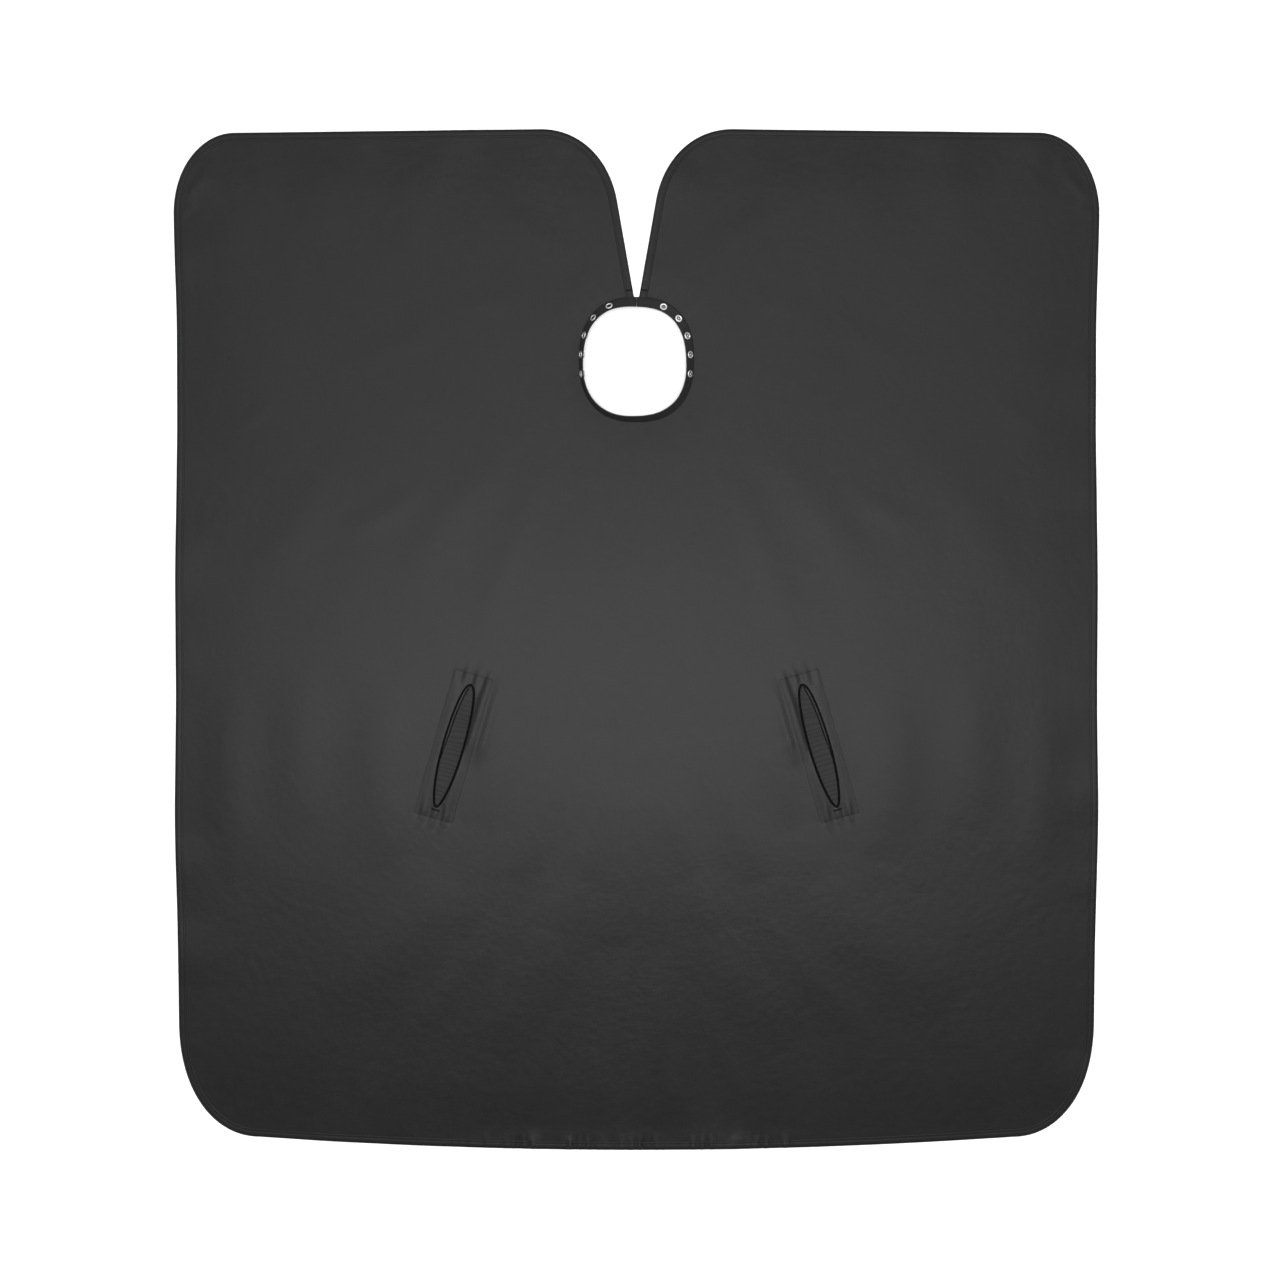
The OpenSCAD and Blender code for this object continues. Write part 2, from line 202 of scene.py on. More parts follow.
# %% Soft folds
FOLDS = [  # x, y of the start, a middle point and the end; width and height, all in millimetres
    ((-330, -60), (-375, -160), (-330, -300), 26, 3.4),
    ((-445, -40), (-480, -130), (-455, -260), 24, 2.4),
    ((-560, -60), (-570, -190), (-540, -330), 26, 2.2),
    ((-190, -40), (-178, -150), (-215, -260), 20, 2.4),
    ((-105, -120), (-120, -230), (-165, -330), 22, 2.8),
    ((-35, -130), (-50, -260), (-105, -400), 24, 3.0),
    ((-12, -190), (-20, -290), (-30, -420), 18, 2.2),
    ((-70, -330), (-110, -440), (-190, -570), 30, 2.6),
    ((-250, -330), (-330, -430), (-430, -500), 34, 2.4),
    ((-120, 250), (-190, 100), (-215, -20), 16, 1.6),
    ((-150, 300), (-260, 180), (-330, 40), 20, 1.5),
    ((-270, 440), (-320, 400), (-390, 380), 14, 1.3),
    ((-290, 215), (-350, 160), (-400, 150), 13, 1.1),
    ((-400, 250), (-470, 170), (-520, 60), 26, 1.7),
    ((-430, 690), (-425, 620), (-450, 540), 22, 1.6),
    ((-310, 695), (-300, 600), (-320, 500), 22, 1.7),
    ((-205, 690), (-215, 600), (-200, 520), 18, 1.2),
    ((-622, 600), (-604, 622), (-588, 640), 5, 2.6),
    ((-630, 575), (-618, 590), (-606, 596), 4, 1.8),
    ((-592, 690), (-582, 664), (-584, 628), 6, 1.6),
    ((-75, 520), (-130, 540), (-200, 600), 16, 1.3),
    ((-60, -560), (-40, -610), (-62, -668), 9, 1.2),
    ((-272, 690), (-268, 640), (-285, 585), 7, 0.7),
    ((-236, 695), (-240, 650), (-232, 600), 6, 0.6),
    ((-150, 480), (-190, 455), (-245, 452), 9, 0.7),
    ((-330, 330), (-300, 310), (-262, 316), 8, 0.6),
    ((-500, 330), (-520, 300), (-560, 290), 8, 0.8),
    ((-180, -380), (-240, -470), (-330, -560), 14, 1.0),
    ((-20, -440), (-34, -520), (-30, -600), 10, 1.0),
    ((-90, -500), (-120, -560), (-150, -640), 11, 0.9),
]
FOLD_LIFT = 0.3  # the share of each height that stays once the cloth has settled under its own weight


def stroke_height(x, y, fold):
    """Height of one drawn fold: a bump across its path that fades out towards both ends."""
    a, b, c = (np.array(p) * MM for p in fold[:3])
    width, height = fold[3] * MM, fold[4] * MM
    t = np.linspace(0, 1, 24)
    path = ((1 - t) ** 2)[:, None] * a + (2 * t * (1 - t))[:, None] * b + (t**2)[:, None] * c
    out, reach = np.zeros(len(x)), 3 * width
    near = ((x > path[:, 0].min() - reach) & (x < path[:, 0].max() + reach)
            & (y > path[:, 1].min() - reach) & (y < path[:, 1].max() + reach))
    px, py = x[near], y[near]
    best = np.full(len(px), 1e9)
    along = np.zeros(len(px))
    for i in range(len(path) - 1):
        d = path[i + 1] - path[i]
        u = np.clip(((px - path[i, 0]) * d[0] + (py - path[i, 1]) * d[1]) / (d @ d), 0, 1)
        gap = np.hypot(px - path[i, 0] - u * d[0], py - path[i, 1] - u * d[1])
        closer = gap < best
        best[closer], along[closer] = gap[closer], (i + u[closer]) / (len(path) - 1)
    fade = np.sin(np.pi * np.clip(along, 0.001, 0.999)) ** 0.8
    out[near] = FOLD_LIFT * height * fade * np.exp(-0.5 * (best / width) ** 2)
    return out

# %% Small creases, puckers and the lift beside each slit
rng = np.random.default_rng(11)
SLIT_TILT = math.radians(16)
SLIT_L, SLIT_W, OPEN_L = 176 * MM, 25.5 * MM, 171 * MM
GUARD_W, GUARD_L = 58 * MM, 208 * MM


def smooth(x, low, high):
    t = np.clip((x - low) / (high - low), 0, 1)
    return t * t * (3 - 2 * t)


def wander(x, y, size, seed):
    """Smooth noise from -1 to 1 whose bumps are about size metres across."""
    return np.array([noise.noise((u / size, v / size, seed)) for u, v in zip(x.tolist(), y.tolist())])


def to_slit(x, y):
    """Coordinates across and along the nearer slit, measured from its middle. Both slits mirror."""
    u, v = np.abs(x) - SLIT_X, y - SLIT_Y
    c, s = math.cos(SLIT_TILT), math.sin(SLIT_TILT)
    return u * c + v * s, v * c - u * s


def flat_tree(points):
    """A search tree that finds the nearest of many flat points."""
    tree = kdtree.KDTree(len(points))
    for i, (x, y) in enumerate(points):
        tree.insert((x, y, 0), i)
    tree.balance()
    return tree


edge_tree = flat_tree(outline)
pucker_phase = np.cumsum(rng.uniform(0.6, 1.4, len(outline))) * EDGE_STEP


def edge_lookup(x, y):
    """Distance to the outline, and the outline's point number, for each point."""
    found = [edge_tree.find((u, v, 0)) for u, v in zip(x.tolist(), y.tolist())]
    return np.array([f[2] for f in found]), np.array([f[1] for f in found])

# %% The height of the cloth at any point
# small tents in the front hem: distance from the middle in metres, half width and rise in millimetres
TENTS = ((0.140, 9, 0.75), (0.092, 3.5, 0.45), (-0.012, 4, 0.6), (0.205, 5, 0.45))


def relief(x, y, puffed=True):
    """Height of the cloth above its flat place. puffed adds the soft rolls beside the slits."""
    h = 0.5 * MM + np.zeros(len(x))
    for fold in FOLDS:
        h += stroke_height(x, y, fold)
        mirrored = tuple((-p[0], p[1]) for p in fold[:3]) + fold[3:]
        h += stroke_height(x, y, mirrored)
    h += 0.42 * MM * (wander(x, y, 0.23, 3.1) + 0.5) + 0.07 * MM * wander(x, y, 0.06, 8.7)
    gap, number = edge_lookup(x, y)
    h *= 0.25 + 0.75 * smooth(gap, 0, 90 * MM)
    # thread gathers the hem: short uneven puckers run in from the edge, stronger along the front
    s = pucker_phase[number]
    strong = smooth(-y, HALF_L - 40 * MM, HALF_L - 5 * MM) * smooth(0.27 - np.abs(x), 0, 0.1)
    reach = (8 + 9 * strong) * MM
    wave = np.sin(2 * np.pi * s / (12 * MM)) * (0.5 + 0.5 * np.sin(2 * np.pi * s / (83 * MM)))
    wave += 0.7 * np.sin(2 * np.pi * s / (31 * MM) + 1) * np.sin(2 * np.pi * s / (117 * MM))
    h += (0.05 + 0.48 * strong) * MM * wave * np.exp(-((gap / reach) ** 2))
    h += 0.5 * MM * strong * np.exp(-((gap / (40 * MM)) ** 2))
    for tent_x, size, rise in TENTS:
        tent = np.exp(-(((np.abs(x) - tent_x) / (size * MM)) ** 6)) * (y < 0)
        depth = 15 * MM + 12 * MM * (tent_x < 0)
        h += rise * MM * tent * np.exp(-(((gap - 4 * MM) / depth) ** 2))
    lazy = np.sin(2 * np.pi * s / (210 * MM)) * np.sin(2 * np.pi * s / (370 * MM) + 2)
    h += 1.0 * MM * np.clip(lazy, 0, 1) * np.exp(-((gap / (45 * MM)) ** 2))
    # the stitched guard pulls a groove round each slit, with a soft roll on both sides of it
    across, along = to_slit(x, y)
    side_fade = np.exp(-((along / (0.5 * SLIT_L)) ** 6))
    if puffed:
        inner = smooth(along, -0.15 * SLIT_L, 0.1 * SLIT_L)
        inner *= smooth(-along, -0.62 * SLIT_L, -0.4 * SLIT_L)
        lower = smooth(-along, -0.05 * SLIT_L, 0.2 * SLIT_L) * side_fade
        h += 1.25 * MM * inner * np.exp(-(((across + 21 * MM) / (6 * MM)) ** 2))
        h += 1.0 * MM * inner * np.exp(-(((across + 38 * MM) / (8 * MM)) ** 2))
        h += 0.9 * MM * lower * np.exp(-(((across + 15 * MM) / (8 * MM)) ** 2))
        h += 0.5 * MM * side_fade * np.exp(-(((across - 17 * MM) / (7 * MM)) ** 2))
    box_gap = np.maximum(np.abs(across) - GUARD_W / 2 + 2 * MM, np.abs(along) - GUARD_L / 2 + 2 * MM)
    pull = 0.03 + 0.12 * smooth(np.abs(along), 0.5 * SLIT_L, 0.6 * SLIT_L)
    h -= pull * MM * np.exp(-((box_gap / (2.4 * MM)) ** 2))
    ends = np.exp(-(((np.abs(along) - 0.55 * SLIT_L) / (15 * MM)) ** 2))
    ends *= smooth(34 * MM - np.abs(across), 0, 18 * MM)
    h += 0.42 * MM * ends * np.sin(across / (2.5 * MM) + 2 * np.sin(along / (21 * MM)))
    # the cloth lies still at the neck seam, with a few small creases where the seam eases it in
    from_neck = np.hypot(x, (y - NECK_Y) * NECK_RX / NECK_RY) - NECK_RX
    angle = np.arctan2(y - NECK_Y, x)
    h *= smooth(from_neck, 2 * MM, 45 * MM)
    crease = np.sin(9 * angle + 1.7 * np.sin(3 * angle)) * np.sin(17 * angle + 1)
    crease *= 0.4 + 0.6 * np.sin(angle) ** 2
    ring = smooth(from_neck, 4 * MM, 16 * MM) * smooth(-from_neck, -50 * MM, -14 * MM)
    h += 0.32 * MM * np.clip(crease, 0, 1) * ring
    return np.maximum(h, 0)

# %% Laying flat points on the table
SIDE_WAVE = [  # y in metres, and how far the side wanders outwards there in millimetres
    (-0.53, -2.5), (-0.41, -1.5), (-0.25, 2.4), (-0.08, -0.4),
    (0.08, 0.3), (0.28, -3.6), (0.44, -3.8), (0.57, 0)]
wave_y = np.linspace(-0.7, 0.7, 281)
wave_x = np.interp(wave_y, *np.array(SIDE_WAVE).T) * MM
for _ in range(40):  # softens the corners of the wave
    wave_x[1:-1] = (wave_x[:-2] + 2 * wave_x[1:-1] + wave_x[2:]) / 4


def drape(points, puffed=True):
    """Lays flat points on the table: lifts them by the relief and lets the sides wander a little."""
    points = np.array(points, float)
    x, y = points[:, 0].copy(), points[:, 1].copy()
    points[:, 2] += relief(x, y, puffed)
    points[:, 0] += np.sign(x) * np.interp(y, wave_y, wave_x) * smooth(np.abs(x), 0.45, HALF_W)
    return points


probe = drape([[0, -0.3, 0], [-0.33, -0.16, 0], [0.2, 0.1, 0]])
print("height of the cloth at three places, mm:", (probe[:, 2] / MM).round(2))

# %% [markdown]
# ## Shader groups
# Three effects turn up in more than one finish, so each is a node group with named sockets. The
# weave crosses two sine waves, the slubs stretch noise along both thread directions, and the soft
# mottle shows where cloth has been handled. Each puts out a value only; the shader stays in the
# material. Coordinates come from a UV map in metres of flat cloth, so the weave bends with the cloth.

# %% Group helpers
FLAT_UV = "flat_cloth"


def start_group(name, output, threads=False):
    """An empty group that takes coordinates, and a thread count if asked, and puts out one value."""
    tree = bpy.data.node_groups.new(name, "ShaderNodeTree")
    tree.interface.new_socket("Coordinates", in_out="INPUT", socket_type="NodeSocketVector")
    if threads:
        count = tree.interface.new_socket(
            "Threads per metre", in_out="INPUT", socket_type="NodeSocketFloat")
        count.default_value = 1600.0
    tree.interface.new_socket(output, in_out="OUTPUT", socket_type="NodeSocketFloat")
    return tree, tree.nodes.new("NodeGroupInput"), tree.nodes.new("NodeGroupOutput")


def math_node(tree, kind, a, b=None, clamp=False):
    n = tree.nodes.new("ShaderNodeMath")
    n.operation, n.use_clamp = kind, clamp
    for socket, value in zip(n.inputs, (a, b)):
        if value is None:
            continue
        if isinstance(value, (int, float)):
            socket.default_value = value
        else:
            tree.links.new(value, socket)
    return n.outputs[0]


def weighted_sum(tree, a, share_a, b, share_b):
    return math_node(tree, "ADD", math_node(tree, "MULTIPLY", a, share_a),
                     math_node(tree, "MULTIPLY", b, share_b))


def scaled(tree, vector, factors):
    n = tree.nodes.new("ShaderNodeVectorMath")
    n.operation = "MULTIPLY"
    tree.links.new(vector, n.inputs[0])
    n.inputs[1].default_value = factors
    return n.outputs[0]


def noise_value(tree, vector, scale, detail=2.0, roughness=0.5):
    n = tree.nodes.new("ShaderNodeTexNoise")
    n.inputs["Scale"].default_value = scale
    n.inputs["Detail"].default_value = detail
    n.inputs["Roughness"].default_value = roughness
    tree.links.new(vector, n.inputs["Vector"])
    return n.outputs["Fac"]

# %% Weave, slubs and mottle
weave_group, g_in, g_out = start_group("Plain weave", "Height", threads=True)
split = weave_group.nodes.new("ShaderNodeSeparateXYZ")
weave_group.links.new(g_in.outputs["Coordinates"], split.inputs[0])
waves = []
for axis in ("X", "Y"):
    turned = math_node(weave_group, "MULTIPLY", split.outputs[axis], g_in.outputs["Threads per metre"])
    waves.append(math_node(weave_group, "SINE", math_node(weave_group, "MULTIPLY", turned, math.pi)))
crossed = math_node(weave_group, "MULTIPLY", waves[0], waves[1])
weave_group.links.new(math_node(weave_group, "MULTIPLY_ADD", crossed, 0.5), g_out.inputs["Height"])

slub_group, g_in, g_out = start_group("Thread slubs", "Value")
warp = noise_value(slub_group, scaled(slub_group, g_in.outputs["Coordinates"], (900, 40, 1)), 1.0, 1.0)
weft = noise_value(slub_group, scaled(slub_group, g_in.outputs["Coordinates"], (45, 800, 1)), 1.0, 1.0)
both = math_node(slub_group, "ADD", warp, weft)
slub_group.links.new(math_node(slub_group, "MULTIPLY", both, 0.5), g_out.inputs["Value"])

mottle_group, g_in, g_out = start_group("Handled mottle", "Value")
broad = noise_value(mottle_group, g_in.outputs["Coordinates"], 9.0, 4.0, 0.6)
fine = noise_value(mottle_group, g_in.outputs["Coordinates"], 70.0, 3.0, 0.6)
mottle_group.links.new(weighted_sum(mottle_group, broad, 0.65, fine, 0.35), g_out.inputs["Value"])
print("groups:", [g.name for g in bpy.data.node_groups])

# %% [markdown]
# ## The cloth finishes
# The cape is coated polyester: dark grey, closely woven, with a soft satin sheen. Hem, neckband and
# guard are cut from the same bolt. Hem and guard differ a little in shade; the neckband's cloth is
# painted about twice as light, as painted light for the light the leaning band misses under the
# overhead lights. One function builds them all, with the two thread colours, the range of roughness,
# the crinkles and the shine as its values.

# %% Cloth materials
def new_material(name):
    m = bpy.data.materials.new(name)
    m.use_nodes = True
    return m, m.node_tree, m.node_tree.nodes["Principled BSDF"]


def use_group(tree, group, vector, **values):
    n = tree.nodes.new("ShaderNodeGroup")
    n.node_tree = group
    tree.links.new(vector, n.inputs["Coordinates"])
    for name, value in values.items():
        n.inputs[name.replace("_", " ")].default_value = value
    return n.outputs[0]


def mix_colours(tree, factor, a, b):
    n = tree.nodes.new("ShaderNodeMix")
    n.data_type = "RGBA"
    tree.links.new(factor, n.inputs["Factor"])
    n.inputs["A"].default_value, n.inputs["B"].default_value = (*a, 1), (*b, 1)
    return n.outputs["Result"]


def spread(tree, value, low, high, to_low, to_high):
    n = tree.nodes.new("ShaderNodeMapRange")
    tree.links.new(value, n.inputs["Value"])
    for name, v in (("From Min", low), ("From Max", high), ("To Min", to_low), ("To Max", to_high)):
        n.inputs[name].default_value = v
    return n.outputs["Result"]


def raise_surface(tree, shader, height, depth):
    bump = tree.nodes.new("ShaderNodeBump")
    bump.inputs["Distance"].default_value = depth
    tree.links.new(height, bump.inputs["Height"])
    tree.links.new(bump.outputs[0], shader.inputs["Normal"])


WEAVE_DEPTH = 0.012 * MM


def cloth_material(name, dark, light, rough, threads=1500.0, crinkle=4.0, shine=0.1):
    m, tree, shader = new_material(name)
    uv = tree.nodes.new("ShaderNodeUVMap")
    uv.uv_map = FLAT_UV
    weave = use_group(tree, weave_group, uv.outputs[0], Threads_per_metre=threads)
    slub = use_group(tree, slub_group, uv.outputs[0])
    mottle = use_group(tree, mottle_group, uv.outputs[0])
    shade = weighted_sum(tree, slub, 0.6, mottle, 0.4)
    factor = spread(tree, shade, 0.36, 0.64, 0.0, 1.0)
    tree.links.new(mix_colours(tree, factor, dark, light), shader.inputs["Base Color"])
    tree.links.new(spread(tree, mottle, 0.3, 0.7, *rough), shader.inputs["Roughness"])
    height = math_node(tree, "ADD", weave, math_node(tree, "MULTIPLY", slub, 0.8))
    height = math_node(tree, "ADD", height, math_node(tree, "MULTIPLY", mottle, crinkle))
    raise_surface(tree, shader, height, WEAVE_DEPTH)
    shader.inputs["Specular IOR Level"].default_value = shine
    return m

# %% The cloths of this cape
cape_cloth = cloth_material("Coated cape cloth", (0.0078,) * 3, (0.0110,) * 3, (0.284, 0.297), crinkle=52.0)
hem_cloth = cloth_material("Hem cloth", (0.0078,) * 3, (0.0093,) * 3, (0.28, 0.33), 1700.0, shine=0.09)
# painted light: the band's cloth is about twice as light as the cape's, standing in for light the leaning
# band misses
painted_light_band_cloth = cloth_material("Neckband cloth", (0.0185,) * 3, (0.0225,) * 3, (0.36, 0.44), 1700.0)
guard_cloth = cloth_material("Guard cloth", (0.0150,) * 3, (0.0175,) * 3, (0.42, 0.5))
interlining_felt = cloth_material(
    "Interlining felt", (0.30, 0.30, 0.29), (0.40, 0.40, 0.38), (0.8, 0.95), 900.0)

# %% [markdown]
# ## Thread, piping and metal
# Sewing thread is two strands twisted together, so its bump is a slanting wave along the stitch. The
# slit's piping is a satin tape, nearly black, woven more finely than the cape and hardly crinkled.
# The snaps are nickel plated: a bright plain metal whose roughness varies with handling and whose
# face has fine turning marks. The sockets take a darker copy with painted shade, and each stud's
# head and groove are painted darker as shade.

# %% Thread, tape and nickel materials
def thread_material(name, dark, light, turns=1400.0):
    m, tree, shader = new_material(name)
    uv = tree.nodes.new("ShaderNodeUVMap")
    uv.uv_map = FLAT_UV
    split = tree.nodes.new("ShaderNodeSeparateXYZ")
    tree.links.new(uv.outputs[0], split.inputs[0])
    slant = math_node(tree, "ADD", split.outputs["X"], split.outputs["Y"])
    twist = math_node(tree, "SINE", math_node(tree, "MULTIPLY", slant, turns * 2 * math.pi))
    ply = math_node(tree, "MULTIPLY_ADD", twist, 0.5)
    mottle = use_group(tree, mottle_group, uv.outputs[0])
    blend = math_node(tree, "MULTIPLY", ply, mottle, clamp=True)
    tree.links.new(mix_colours(tree, blend, dark, light), shader.inputs["Base Color"])
    tree.links.new(spread(tree, mottle, 0.3, 0.7, 0.4, 0.6), shader.inputs["Roughness"])
    raise_surface(tree, shader, ply, 0.04 * MM)
    shader.inputs["Specular IOR Level"].default_value = 0.12
    return m


def nickel_material(name, worn, bright, rough, painted_shade=None):
    m, tree, shader = new_material(name)
    place = tree.nodes.new("ShaderNodeTexCoord").outputs["Object"]
    marks = noise_value(tree, scaled(tree, place, (1, 1, 4)), 1800.0, 2.0)
    smudge = noise_value(tree, place, 240.0, 3.0, 0.6)
    colour = mix_colours(tree, spread(tree, smudge, 0.35, 0.65, 0, 1), worn, bright)
    tree.links.new(painted_shade(tree, place, colour) if painted_shade else colour, shader.inputs["Base Color"])
    both = weighted_sum(tree, smudge, 0.7, marks, 0.3)
    tree.links.new(spread(tree, both, 0.35, 0.65, *rough), shader.inputs["Roughness"])
    raise_surface(tree, shader, marks, 0.01 * MM)
    shader.inputs["Metallic"].default_value = 1.0
    return m

# %% This cape's thread and metal
thread = thread_material("Black sewing thread", (0.0015,) * 3, (0.006,) * 3)
grey_thread = thread_material("Grey sewing thread", (0.005,) * 3, (0.014,) * 3)
satin_tape = cloth_material(
    "Satin piping tape", (0.0006,) * 3, (0.0012,) * 3, (0.34, 0.42), 2600.0, shine=0.03)
nickel = nickel_material("Nickel plate", (0.88, 0.88, 0.88), (0.97, 0.97, 0.97), (0.38, 0.52))
# painted shade: a dark copy of the nickel plate, given to the sockets as the shade inside their openings
shaded_nickel = nickel_material("Dull nickel plate", (0.26, 0.26, 0.27), (0.38, 0.38, 0.39), (0.34, 0.48))


def stud_material(name, centre):
    """A bright flange round a head painted grey, with a ring of painted shade in the groove between them."""
    def painted_shade(tree, place, colour):
        gap = tree.nodes.new("ShaderNodeVectorMath")
        gap.operation = "DISTANCE"
        tree.links.new(place, gap.inputs[0])
        gap.inputs[1].default_value = centre
        ramp = tree.nodes.new("ShaderNodeValToRGB")
        tree.links.new(spread(tree, gap.outputs["Value"], 0, 6 * MM, 0, 1), ramp.inputs["Fac"])
        bar = ramp.color_ramp
        # painted shade: the head is darkened to grey and a near-black ring is painted in the groove round it;
        # the flange stays bright
        bar.elements[0].position, bar.elements[0].color = 0.30, (0.42, 0.42, 0.43, 1)
        bar.elements[1].position, bar.elements[1].color = 0.52, (1, 1, 1, 1)
        for at, shade in ((0.36, 0.05), (0.44, 0.05)):
            bar.elements.new(at).color = (shade, shade, shade, 1)
        both = tree.nodes.new("ShaderNodeMix")
        both.data_type, both.blend_type = "RGBA", "MULTIPLY"
        both.inputs["Factor"].default_value = 1.0
        tree.links.new(colour, both.inputs["A"])
        tree.links.new(ramp.outputs["Color"], both.inputs["B"])
        return both.outputs["Result"]

    return nickel_material(f"Nickel {name}", (0.88, 0.88, 0.88), (0.97, 0.97, 0.97), (0.38, 0.52), painted_shade)


spring_steel = nickel_material("Spring steel", (0.42, 0.42, 0.43), (0.60, 0.60, 0.61), (0.25, 0.40))
print("materials:", len(bpy.data.materials))

# %% [markdown]
# ## Building meshes
# Every piece is built from arrays of points. A small builder gathers vertices, faces and UVs, so one
# object can hold a hem or a thousand stitches. Its `sweep` runs a section along a path, which makes
# hems, piping and bands, and its `threads` makes many short stitches at once.

# %% The mesh builder
class Builder:
    def __init__(self):
        self.points, self.faces, self.uvs, self.count = [], [], [], 0

    def add(self, points, faces, uvs):
        """points is N x 3, faces lists of point numbers, uvs one pair for each corner in order."""
        self.points.append(np.asarray(points, float))
        self.faces += (faces + self.count).tolist() if isinstance(faces, np.ndarray) else [
            [i + self.count for i in f] for f in faces]
        self.uvs.append(np.asarray(uvs, float).reshape(-1, 2))
        self.count += len(points)

    def sweep(self, rings, closed=False):
        """rings is stations x section points x 3; each section is a closed loop."""
        n, k = rings.shape[:2]
        ring = np.roll(np.arange(k), -1)
        last = n if closed else n - 1
        i, j = np.meshgrid(np.arange(last), np.arange(k), indexing="ij")
        up = (i + 1) % n
        quads = np.stack([i * k + j, i * k + ring[j], up * k + ring[j], up * k + j], axis=-1)
        mid = rings.mean(axis=1)
        s = np.concatenate([[0], np.cumsum(np.linalg.norm(np.diff(mid, axis=0), axis=1))])
        if closed:
            s = np.append(s, s[-1] + np.linalg.norm(mid[0] - mid[-1]))
        around = np.linalg.norm(rings[n // 2][ring] - rings[n // 2], axis=1)
        v = np.concatenate([[0], np.cumsum(around)])
        uv = np.stack([np.stack([s[i], v[j]], -1), np.stack([s[i], v[j + 1]], -1),
                       np.stack([s[i + 1], v[j + 1]], -1), np.stack([s[i + 1], v[j]], -1)], axis=2)
        self.add(rings.reshape(-1, 3), quads.reshape(-1, 4), uv.reshape(-1, 2))
        if not closed:
            for end in (rings[0][::-1], rings[-1]):
                self.add(end, [list(range(k))], np.stack([v[:-1], v[:-1] * 0], axis=1))

    def threads(self, starts, ends, ups, radius, arch=0.6):
        """Short round stitches from starts to ends that dip into the cloth at both ends."""
        starts, ends, ups = (np.asarray(a, float) for a in (starts, ends, ups))
        d = ends - starts
        length = np.linalg.norm(d, axis=1, keepdims=True)
        side = np.cross(d / length, ups)
        side /= np.linalg.norm(side, axis=1, keepdims=True)
        turn = np.arange(6) * math.pi / 3
        rings = []
        places = ((0.0, 0.55, -arch), (0.22, 1.0, 0.35 * arch),  # share of the length, size, lift
                  (0.78, 1.0, 0.35 * arch), (1.0, 0.55, -arch))
        for t, size, lift in places:
            centre = starts + d * t + ups * lift * radius
            rings.append(centre[:, None] + size * radius * (
                side[:, None] * np.cos(turn)[None, :, None] + ups[:, None] * np.sin(turn)[None, :, None]))
        points = np.stack(rings, axis=1)  # stitches x 4 x 6 x 3
        n = len(points)
        r, c = np.meshgrid(np.arange(3), np.arange(6), indexing="ij")
        c2 = (c + 1) % 6
        quads = np.stack([r * 6 + c, r * 6 + c2, (r + 1) * 6 + c2, (r + 1) * 6 + c], -1)
        quads = quads.reshape(-1, 4)[:, ::-1]
        faces = (np.arange(n)[:, None, None] * 24 + quads[None]).reshape(-1, 4)
        u = np.array([p[0] for p in places])
        one = np.stack([np.stack([u[r], c / 6.0], -1), np.stack([u[r], (c + 1) / 6.0], -1),
                        np.stack([u[r + 1], (c + 1) / 6.0], -1), np.stack([u[r + 1], c / 6.0], -1)], 2)
        one = one.reshape(-1, 4, 2)[:, ::-1].reshape(-1, 2) * [1, 2.0 * math.pi * radius / length.mean()]
        shift = rng.uniform(0, 0.05, (n, 1, 2))
        self.add(points.reshape(-1, 3), faces, (one[None] * length.mean() + shift).reshape(-1, 2))
        caps = np.concatenate([np.arange(6), np.arange(23, 17, -1)]).reshape(2, 6)
        base = self.count - n * 24
        self.faces += (base + np.arange(n)[:, None, None] * 24 + caps[None]).reshape(-1, 6).tolist()
        self.uvs.append(np.zeros((n * 12, 2)))

    def make(self, name, material, draped=True, puffed=True):
        points = np.vstack(self.points)
        if draped:
            points = drape(points, puffed)
        return mesh_object(name, points, self.faces, np.vstack(self.uvs), material)


def mesh_object(name, points, faces, uvs, material):
    mesh = bpy.data.meshes.new(name)
    mesh.from_pydata(np.asarray(points).tolist(), [], faces)
    layer = mesh.uv_layers.new(name=FLAT_UV)
    layer.data.foreach_set("uv", np.asarray(uvs, np.float32).ravel())
    mesh.polygons.foreach_set("use_smooth", np.ones(len(mesh.polygons), bool))
    mesh.materials.append(material)
    mesh.update()
    obj = bpy.data.objects.new(name, mesh)
    bpy.context.scene.collection.objects.link(obj)
    print(f"{name}: {len(mesh.vertices)} points, {len(mesh.polygons)} faces")
    return obj


def path_inward(path, closed=False):
    """Unit vectors across a flat path, to its left."""
    if closed:
        d = np.roll(path, -1, axis=0) - np.roll(path, 1, axis=0)
    else:
        d = np.gradient(path, axis=0)
    d /= np.linalg.norm(d, axis=1, keepdims=True)
    return np.stack([-d[:, 1], d[:, 0]], axis=1)

# %% [markdown]
# ## The cape's cloth
# A sheet with an outline, a neck hole and two slits is easy to cut and hard to grid, so it is
# triangulated: points are scattered evenly, closer together near the hem, the neck and the slits
# where the cloth puckers, and Blender's own triangulation joins them without crossing an edge. The
# fold line is one of those edges. Cutting there gives the front and two back halves that share
# their points, so no seam shows where the cloth runs through.

# %% The slit's leaf shape
LEAF_STEP = 1.5 * MM


def leaf(grow=0.0):
    """Closed outline of a slit about its own middle, a little more pointed at its front end."""
    s = -np.cos(np.linspace(0, np.pi, 400))
    width = SLIT_W / 2 * np.clip(1 - s**2, 0, None) ** (0.5 + 0.16 * smooth(-s, -0.2, 1.0))
    right = np.stack([width, s * OPEN_L / 2], axis=1)
    loop = even(np.vstack([right, right[-2:0:-1] * [-1, 1], right[:1]]), LEAF_STEP)[:-1]
    return loop - path_inward(loop, closed=True) * grow


def slit_place(points, side):
    """Moves points from a slit's own axes to its place on the cape. side is 1 right, -1 left."""
    points = np.array(points, float)
    c, s = math.cos(SLIT_TILT), math.sin(SLIT_TILT)
    x = SLIT_X + points[..., 0] * c - points[..., 1] * s
    y = SLIT_Y + points[..., 0] * s + points[..., 1] * c
    return np.concatenate([np.stack([side * x, y], axis=-1), points[..., 2:]], axis=-1)

